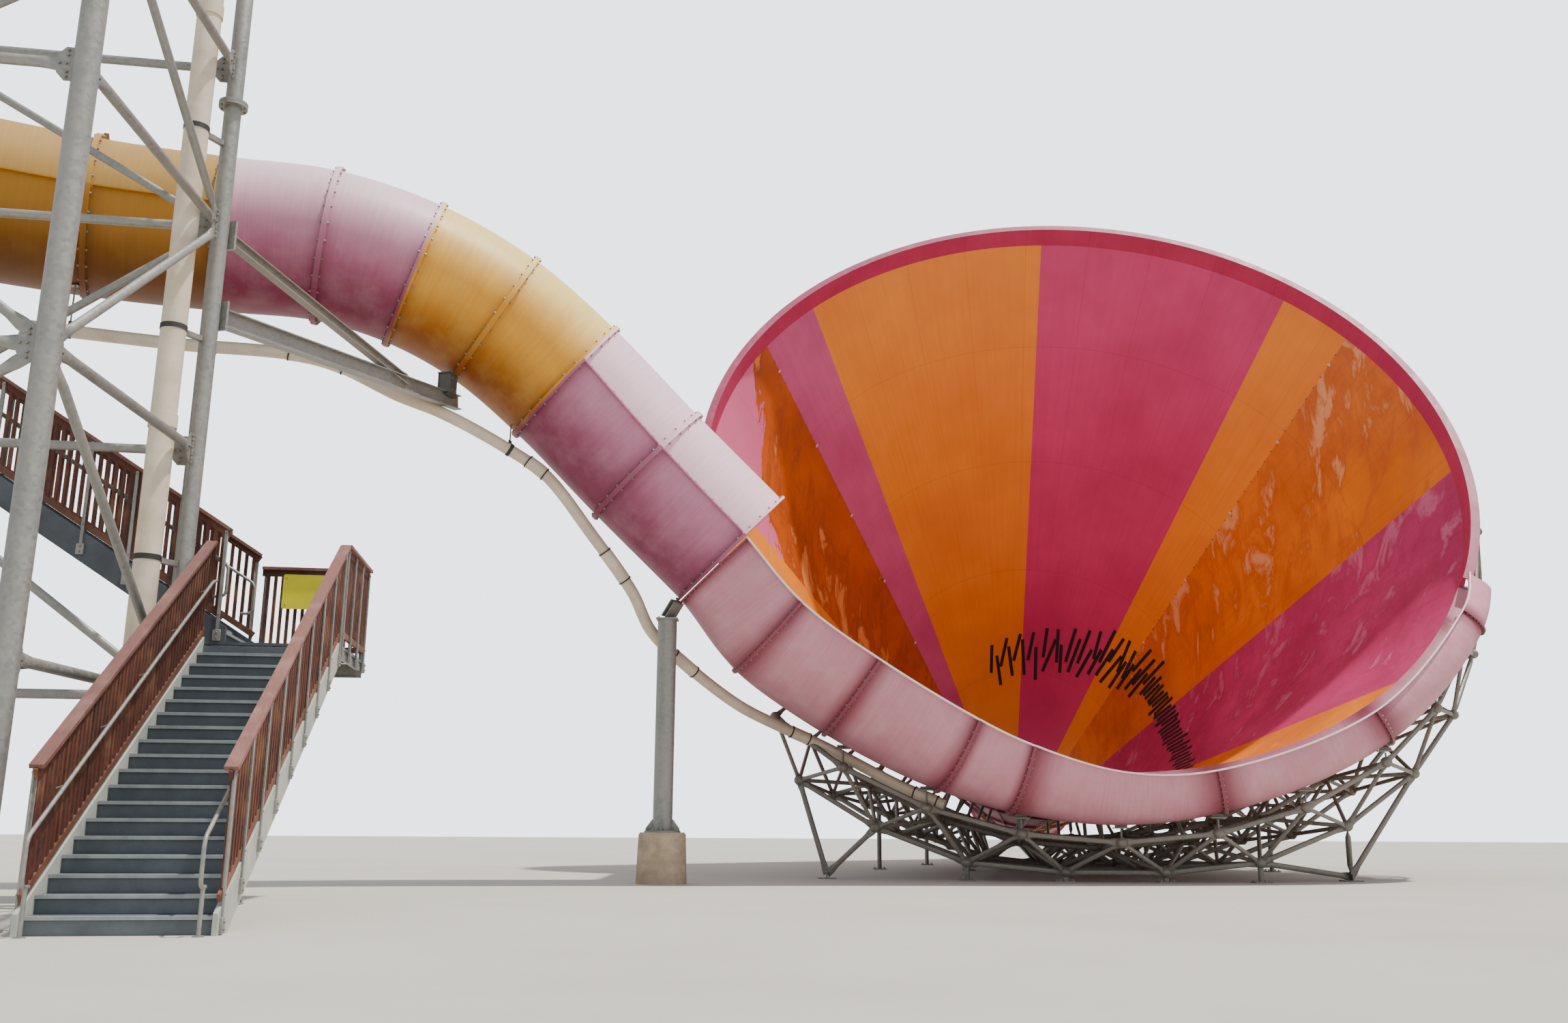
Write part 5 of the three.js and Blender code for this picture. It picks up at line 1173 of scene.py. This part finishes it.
# %% Riser and supply pipes
RISER_AT, RISER_R, SUPPLY_R = np.array([-8.09, 16.79, 0.0]), 0.162, 0.11


def clamp(point, direction, inner, outer, half, sides):
    """A black band round a pipe."""
    return turned(point, direction, [(inner, -half), (outer, -half), (outer, half), (inner, half)], sides, 1)


riser = [(0, 0), (0.252, 0), (0.252, 0.04), (RISER_R, 0.04)]
for z in (6.02, 12.02):
    riser += [(RISER_R, z), (0.178, z), (0.178, z + 0.18), (RISER_R, z + 0.18)]
riser += [(RISER_R, 14.26), (0.165, 14.27), (0.165, 14.3), (0, 14.3)]
parts = turned(RISER_AT, UP, riser, 40)
parts.append(hex_bolts(RISER_AT + EIGHT * 0.215 + UP * 0.04, UP, 0.036, 0.03, 2))
heading = unit(BACK_RIGHT - RISER_AT)
for z in (4.3, 7.4, 10.3, 13.0):
    parts += clamp(RISER_AT + UP * z, UP, RISER_R - 0.01, RISER_R + 0.008, 0.035, 40)
    start, end = RISER_AT + heading * (RISER_R + 0.005), BACK_RIGHT - heading * 0.117
    parts.append(plank(start + UP * z, end + UP * z, 0.07, 0.07, UP, 2, 0.5))
piece("riser_pipe_cream", parts, [cream_paint, clamp_black, bolt_zinc], ["riser_pipe"])

SUPPLY_POINTS = np.array([
    [-12.6, 20.9, 8.99], [-10.5, 21.7, 8.99], [-8.2, 22.5, 8.99], [-6.9, 22.95, 8.48], [-6.15, 23.2, 8.23],
    [-5.05, 23.9, 7.74], [-4.4, 24.1, 7.31], [-3.6, 24.5, 6.32], [-2.85, 24.95, 5.3], [-2.5, 25.35, 4.6],
    [-1.9, 25.75, 4.05], [-0.92, 26.5, 3.353], [-0.1, 27.3, 2.99], [0.612, 27.6, 2.7], [1.131, 27.6, 2.45],
    [2.278, 27.2, 1.835], [3.171, 26.95, 1.44]])
route = curve_point(SUPPLY_POINTS, np.linspace(0, 1, 200))
run = np.r_[0, np.cumsum(np.linalg.norm(np.diff(route, axis=0), axis=1))]
parts = [pipe(route, SUPPLY_R, 24)]
for along in (4.6, 8.9, 11.2, 13.6, 16.8, 19.6):
    i = np.searchsorted(run, along)
    sleeve = route[i - 3:i + 4]
    parts.append(pipe(sleeve, SUPPLY_R + 0.012, 24))
    for end in (sleeve[0], sleeve[-1]):
        parts += clamp(end, sleeve[-1] - sleeve[0], SUPPLY_R, SUPPLY_R + 0.02, 0.012, 24)
tube_line = curve_point(TUBE_JOINTS, np.linspace(0, 1, 400))
for hanger in ([-12.0, 21.133, 8.99], [-9.76, 21.97, 8.99], [-5.05, 23.9, 7.74]):
    i = np.argmin(np.linalg.norm(route - hanger, axis=1))
    at, direction = route[i], unit(route[i + 1] - route[i - 1])
    parts += clamp(at, direction, SUPPLY_R, SUPPLY_R + 0.014, 0.03, 24)
    # The rod reaches the tube's outside right above the pipe
    above = tube_line[np.argmin(np.linalg.norm(tube_line[:, :2] - at[:2], axis=1))]
    aside = np.linalg.norm(above[:2] - at[:2])
    rod_top = np.array([at[0], at[1], above[2] - math.sqrt(max(TUBE_R ** 2 - aside ** 2, 0.3)) + 0.004])
    parts.append(bars(at + UP * SUPPLY_R, rod_top, 0.014, 10, 2))
    across = np.cross(UP, direction)
    parts.append(boxes(at + UP * (SUPPLY_R + 0.03), direction * 0.03, across * 0.02, UP * 0.04, 1))
    parts.append(blocks(rod_top - UP * 0.02, 0.07, 0.05, 0.008, 2))
piece("supply_pipe_cream", parts, [cream_paint, clamp_black, bolt_zinc], ["supply_pipe"])

# %% [markdown]
# The stair is set out in its own frame: x across from its left side, y up along the flight, z up.
# One function turns such local points into site points, so the same flight is used twice, the
# second time turned by a quarter. Each step is a closed riser set back under a tread with a pale
# nosing, which gives the dark line under every tread.

# %% Stair frames and flights
RISE, TREAD, STEPS, STAIR_WIDTH = 0.1778, 0.2794, 19, 1.71
FLIGHT_RUN, FLIGHT_RISE, SLOPE = (STEPS - 1) * TREAD, STEPS * RISE, RISE / TREAD
LANDING_DEPTH, GUARD_HEIGHT = 1.95, 1.33
QUARTER = math.pi / 2


def local_frame(origin, turn, inside=None):
    """A function from local points to site points: origin + x·right + y·ahead + z·up, turned."""
    right = np.array([math.cos(turn), math.sin(turn), 0.0])
    ahead = np.cross(UP, right)

    def to_site(points):
        points = np.asarray(points, float)
        here = origin + points[..., :1] * right + points[..., 1:2] * ahead + points[..., 2:] * UP
        return inside(here) if inside else here
    return to_site


def heading_of(to_site, direction):
    """A local direction as a site direction."""
    return to_site(direction) - to_site(np.zeros(3))


def boards(to_site, start, end, width, thick, flat, material=0, tone=None):
    """Planks given in a local frame; flat is the local direction of their width."""
    return plank(to_site(start), to_site(end), width, thick, heading_of(to_site, flat), material, tone)


stair_frame = local_frame(np.array([-6.995, 12.87, 0.0]), math.atan2(0.144, 0.99))
upper_frame = local_frame([0.2, FLIGHT_RUN + 0.06, FLIGHT_RISE + GAP], QUARTER, stair_frame)
landing_one = local_frame([0, FLIGHT_RUN + GAP, 0.0], 0.0, stair_frame)
landing_two = local_frame([0.2 - FLIGHT_RUN - GAP, FLIGHT_RUN + 0.06, 0.0], QUARTER, stair_frame)


def flight(name, to_site, side_paint, node):
    """Treads, nosings, risers, a soffit and two stringers."""
    front, top = np.arange(STEPS - 1) * TREAD, np.arange(1, STEPS) * RISE
    last_y, last_z = np.array([FLIGHT_RUN - 0.012]), np.array([FLIGHT_RISE - RISE / 2 - 0.03])
    parts = []
    for y, z, width, thick, flat, finish in (
            (front + 0.03 + TREAD / 2, top - 0.02, TREAD - 0.055, 0.04, NORTH, 0),
            (front + 0.027, top - 0.019, 0.052, 0.038, NORTH, 1),
            (front + 0.045, top - 0.02 - RISE / 2, RISE - 0.042, 0.02, UP, 2),
            (last_y, last_z, RISE - 0.06, 0.02, UP, 2)):
        start, end = (np.c_[0 * y + x, y, z] for x in (0.006, STAIR_WIDTH - 0.006))
        parts.append(boards(to_site, start, end, width, thick, flat, finish))
    start, end = [STAIR_WIDTH / 2, 0.24, 0.06], [STAIR_WIDTH / 2, FLIGHT_RUN - 0.01, FLIGHT_RISE - 0.30]
    parts.append(boards(to_site, start, end, STAIR_WIDTH - 0.012, 0.012, EAST, 2))
    outline = [(-0.06, 0), (-0.06, RISE + 0.06 - 0.06 * SLOPE), (FLIGHT_RUN, FLIGHT_RISE + 0.06),
               (FLIGHT_RUN, FLIGHT_RISE - 0.3), (0.3, 0)]
    for x in (-0.02, STAIR_WIDTH + 0.02):
        parts.append(prism(to_site([(x, y, z) for y, z in outline]), 0.05, 3))
    finish = [tread_paint, nosing_paint, riser_paint, side_paint]
    piece(name, parts, finish, [node], bevel=0.002)


flight("stair_lower_flight", stair_frame, stringer_paint, "stair_flight_1")
flight("stair_upper_flight", upper_frame, dark_stringer, "stair_flight_2")

# %% [markdown]
# A guard is a row of upright boards between two rails, under a wide cap board. Galvanised posts
# stand between the boards about every 0.6 m and reach down past the stringer, where a clamp plate
# and two bolts hold them. A guard on a flight leans with it: every height gets slope · y added.

# %% Guards
PICKET, PICKET_PITCH, POST_PITCH, GUARD_THICK = 0.045, 0.104, 0.62, 0.04


def uprights(to_site, x, y, low, high, width, thick, flat, material):
    """Upright boards at x and at each y, from the heights low to high."""
    x = np.full(len(y), x)
    return boards(to_site, np.c_[x, y, low], np.c_[x, y, high], width, thick, flat, material)


def guard(to_site, x, y0, run, rise, base, outward, post_drop):
    """Boards, rails, cap and posts of one guard in the plane x, from y0 for a run; it starts at the
    height base. outward is +1 or -1, the side that the posts stand on."""
    slope = rise / run
    middle = x + GUARD_THICK / 2
    count = int(round((run - 0.08) / PICKET_PITCH))
    y = y0 + 0.04 + (run - 0.08) * (np.arange(count) + 0.5) / count
    line = base + slope * (y - y0)
    parts = [uprights(to_site, middle, y, line + 0.13, line + GUARD_HEIGHT - 0.02, PICKET, 0.034, NORTH, 0)]
    across = [0, slope, -1] if slope else UP
    for h, width, thick, flat, finish in (
            (0.155, 0.085, 0.038, across, 2), (GUARD_HEIGHT - 0.045, 0.095, 0.038, across, 0),
            (GUARD_HEIGHT + 0.0225, 0.14, 0.045, EAST, 1), (GUARD_HEIGHT - 0.02, 0.05, 0.012, across, 0)):
        start, end = [middle, y0, base + h], [middle, y0 + run, base + rise + h]
        parts.append(boards(to_site, start, end, width, thick, flat, finish))
    y = np.linspace(y0 + 0.05, y0 + run - 0.05, max(2, int(round(run / POST_PITCH)) + 1))
    line = base + slope * (y - y0)
    beside = middle + outward * 0.032
    bottom, top = np.maximum(line - post_drop, 0.03), line + GUARD_HEIGHT - 0.02
    parts += [uprights(to_site, beside, y, bottom, top, 0.045, 0.022, NORTH, 3),
              uprights(to_site, beside - outward * 0.016, y + 0.018, bottom, top, 0.03, 0.006, EAST, 3),
              uprights(to_site, beside + outward * 0.004, y, bottom - 0.02, bottom + 0.13,
                       0.10, 0.034, NORTH, 3)]
    normal = heading_of(to_site, [outward, 0, 0])
    for z, out, size, height in (
            (line + 0.155, 0.011, 0.022, 0.012), (line + GUARD_HEIGHT - 0.06, 0.011, 0.022, 0.012),
            (bottom + 0.02, 0.021, 0.03, 0.016), (bottom + 0.09, 0.021, 0.03, 0.016)):
        spots = to_site(np.c_[np.full(len(y), beside + outward * out), y, z])
        parts.append(hex_bolts(spots, normal, size, height, 4))
    return parts


guard_finish = [picket_wood, cap_wood, rail_wood, zinc_grey, bolt_zinc, sign_yellow]
for number, to_site in ((1, stair_frame), (2, upper_frame)):
    for side, x, outward in (("left", -GUARD_THICK, -1), ("right", STAIR_WIDTH, 1)):
        run = FLIGHT_RUN - 0.01
        parts = guard(to_site, x, 0.0, run, SLOPE * run, RISE, outward, 0.24)
        piece(f"guard_of_flight_{number}_{side}", parts, guard_finish[:5],
              [f"guard_flight_{number}_{side}"], bevel=0.003)

# %% Landings
def landing(name, to_site, top_z, post_r, posts, node, tie=None):
    """Deck boards on joists and edge beams, on pipe posts with base plates."""
    y = np.arange(0.07, LANDING_DEPTH, 0.1385)
    ends, z = (-0.045, STAIR_WIDTH + 0.045), np.full(len(y), top_z - 0.02)
    start, end = (np.c_[0 * y + x, y, z] for x in ends)
    parts = [boards(to_site, start, end, 0.13, 0.04, NORTH, 1)]
    for x in np.linspace(0.0, STAIR_WIDTH, 5):
        start, end = ([x, y, top_z - 0.10] for y in (0.02, LANDING_DEPTH - 0.02))
        parts.append(boards(to_site, start, end, 0.11, 0.05, UP, 0, 0.5))
    for y, side in ((0.06, -1), (LANDING_DEPTH - 0.06, 1)):
        for drop, width, flat in ((0.15, 0.19, UP), (0.06, 0.08, NORTH), (0.245, 0.08, NORTH)):
            start, end = ([x, y, top_z - drop] for x in ends)
            parts.append(boards(to_site, start, end, width, 0.012, flat, 0, 0.6))
        spots = [[x, y + side * 0.006, top_z - 0.13] for x in np.linspace(0.1, STAIR_WIDTH - 0.1, 9)]
        parts.append(hex_bolts(to_site(spots), heading_of(to_site, [0, side, 0]), 0.034, 0.016, 2))
    right, ahead = heading_of(to_site, EAST), heading_of(to_site, NORTH)
    for x, y in posts:
        foot = to_site([x, y, 0.0])
        parts += turned(foot, UP, [(0, 0.02), (post_r, 0.02), (post_r, top_z - 0.1), (0, top_z - 0.1)], 20)
        parts.append(boxes(foot + UP * 0.01, right * 0.13, ahead * 0.13, UP * 0.01, 0, 0.4))
        spots = [foot + right * a + ahead * b + UP * 0.02 for a in (-0.1, 0.1) for b in (-0.1, 0.1)]
        parts.append(hex_bolts(spots, UP, 0.032, 0.03, 2))
    if tie:
        parts.append(bars(*tie, 0.03, 12))
    piece(name, parts, [zinc_grey, tread_paint, bolt_zinc], [node])


tie_start = landing_one([-0.04, 0.2, FLIGHT_RISE - 0.033])
tie_end = BACK_RIGHT + UP * (FLIGHT_RISE - 0.033)
tie_end = tie_end + unit(tie_start - tie_end) * 0.116
near_y, far_y, left_x, right_x = 0.09, LANDING_DEPTH - 0.09, 0.08, STAIR_WIDTH - 0.08
landing("landing_lower", landing_one, FLIGHT_RISE, 0.06, [(left_x, near_y), (0.64, near_y), (left_x, far_y)],
        "stair_landing_1", (tie_start, tie_end))
landing("landing_upper", landing_two, 2 * FLIGHT_RISE + GAP, 0.075,
        [(x, y) for x in (left_x, right_x) for y in (near_y, far_y)], "stair_landing_2")

EDGE, SIGN = 0.01, (0.53, 1.25)
SIGN_HALF_HEIGHT = 0.26
back_y = LANDING_DEPTH - EDGE - GUARD_THICK


def landing_guard(name, to_site, deck, sides, back_run, node, sign=False):
    """Guards on the named sides; the back one is turned by a quarter. One can carry a bare plate."""
    parts = []
    for side in sides:
        if side == "back":
            back_frame = local_frame([STAIR_WIDTH + 0.05, back_y, 0.0], QUARTER, to_site)
            parts += guard(back_frame, 0.0, 0.0, back_run, 0.0, deck, 1, 0.16)
        else:
            x, outward = (STAIR_WIDTH + 0.05 - GUARD_THICK, 1) if side == "right" else (-0.05, -1)
            parts += guard(to_site, x, EDGE, LANDING_DEPTH - 2 * EDGE, 0.0, deck, outward, 0.16)
    if sign:
        (left, right), y, z = SIGN, back_y - 0.012, deck + 1.01
        low, high = z - SIGN_HALF_HEIGHT, z + SIGN_HALF_HEIGHT
        outline = rounded([(left, y, z), (left, y, high), (right, y, high), (right, y, low),
                           (left, y, low), (left, y, z - 0.001)], 0.03, 4)
        parts.append(prism(to_site(outline), 0.004, 5))
        corners = [(x, y - 0.002, z + h) for x in (left + 0.05, right - 0.05) for h in (-0.2, 0.2)]
        parts.append(hex_bolts(to_site(corners), heading_of(to_site, -NORTH), 0.02, 0.006, 4))
    piece(name, parts, guard_finish[:6 if sign else 5], [node], bevel=0.003)


landing_guard("guard_of_lower_landing", landing_one, FLIGHT_RISE, ["right", "back"], STAIR_WIDTH - 0.17,
              "guard_landing_1", True)
landing_guard("guard_of_upper_landing", landing_two, 2 * FLIGHT_RISE + GAP, ["left", "back", "right"],
              STAIR_WIDTH + 0.1, "guard_landing_2")

# %% [markdown]
# The handrails are bent galvanised pipe, smooth enough to run a hand along. Their ends turn down
# and back so that a sleeve can't catch on them. Each is one rounded path with a ring carried along.

# %% Handrails
RAIL_R, RAIL_UP, RAIL_IN = 0.021, 0.88, 0.085


def rail_point(x, y):
    """A point of the rail's line over the nosings."""
    return [x, y, RISE + SLOPE * y + RAIL_UP]


rail_parts = []
for to_site, low_y in ((stair_frame, -0.28), (upper_frame, 0.02)):
    for x, wall in ((RAIL_IN, 0.0), (STAIR_WIDTH - RAIL_IN, STAIR_WIDTH)):
        end_z = 0.62 + low_y * SLOPE
        path = [[x, low_y + 0.16, end_z], [x, low_y, end_z], rail_point(x, low_y),
                rail_point(x, FLIGHT_RUN - 0.15), [x, FLIGHT_RUN + 0.25, RISE + SLOPE * FLIGHT_RUN + RAIL_UP]]
        rail_parts.append(pipe(to_site(rounded(path, 0.09, 7)), RAIL_R, 12))
        start = np.array([rail_point(x, y) for y in np.linspace(0.5, FLIGHT_RUN - 0.4, 5)])
        rail_parts.append(bars(to_site(start), to_site(start * [0, 1, 1] + [wall, 0, -0.03]), 0.008))
        if to_site is stair_frame:
            foot = to_site([x, low_y + 0.1, 0.0])
            rail_parts.append(bars(foot, foot + UP * end_z, RAIL_R, 12))
            rail_parts += turned(foot, UP, [(0, 0), (0.055, 0), (0.055, 0.01), (0, 0.01)], 20)
piece("handrails", rail_parts, [zinc_grey])

# %% [markdown]
# The stage is a pale floor under a high soft sun. Its direction, 98 degrees round from straight
# ahead and 69 degrees up, was worked out from the edge of the shadow inside the cone. The sky lights
# the cone's inside evenly; what the camera sees of it is paler than what lights the scene. The
# camera stands where the photograph was taken: at eye height, looking 13 degrees up.

# %% Floor, light and camera
SIZE = 90.0
floor_mesh = bpy.data.meshes.new("floor")
corners = [(-SIZE, -SIZE, 0), (SIZE, -SIZE, 0), (SIZE, SIZE, 0), (-SIZE, SIZE, 0)]
floor_mesh.from_pydata(corners, [], [(0, 1, 2, 3)])
floor_mesh.materials.append(paint("pale_floor", "#c2bdb3", "#bab4a9", 0.9, 6.0, 0.05))
show("floor", floor_mesh)

SUN_AZIMUTH, SUN_HEIGHT = math.radians(98), math.radians(69)
sun_data = bpy.data.lights.new("sun", "SUN")
sun_data.energy = 5.0
sun_data.angle = math.radians(2.0)
sun_data.color = (1.0, 0.96, 0.90)
to_sun = Vector((math.sin(SUN_AZIMUTH) * math.cos(SUN_HEIGHT), math.cos(SUN_AZIMUTH) * math.cos(SUN_HEIGHT),
                 math.sin(SUN_HEIGHT)))
show("sun", sun_data).rotation_euler = to_sun.to_track_quat("Z", "Y").to_euler()

world = bpy.data.worlds.new("sky")
bpy.context.scene.world = world
world.use_nodes = True
sky_light = world.node_tree.nodes["Background"]
wire(sky_light, {"Color": "#dfe6ee", "Strength": 1.15})
sky_seen = add(world.node_tree, "Background", {"Color": "#e9edf3", "Strength": 3.4})
ray = add(world.node_tree, "LightPath", {}).outputs["Is Camera Ray"]
sky = add(world.node_tree, "MixShader", {0: ray, 1: sky_light, 2: sky_seen})
wire(world.node_tree.nodes["World Output"], {"Surface": sky})

TILT, ROLL, EYE = math.radians(13.17), math.radians(0.3), 1.02
forward = np.array([0, math.cos(TILT), math.sin(TILT)])
level_up = np.cross(EAST, forward)
axis_x = EAST * math.cos(ROLL) + level_up * math.sin(ROLL)
axis_y = -EAST * math.sin(ROLL) + level_up * math.cos(ROLL)
camera_data = bpy.data.cameras.new("camera")
camera_data.lens = 30.88
camera_data.sensor_width = 36.0
camera = show("camera", camera_data)
turn = Matrix(np.stack([axis_x, axis_y, -forward], 1).tolist())
camera.matrix_world = Matrix.Translation(Vector(SHIFT + UP * EYE)) @ turn.to_4x4()
bpy.context.scene.camera = camera
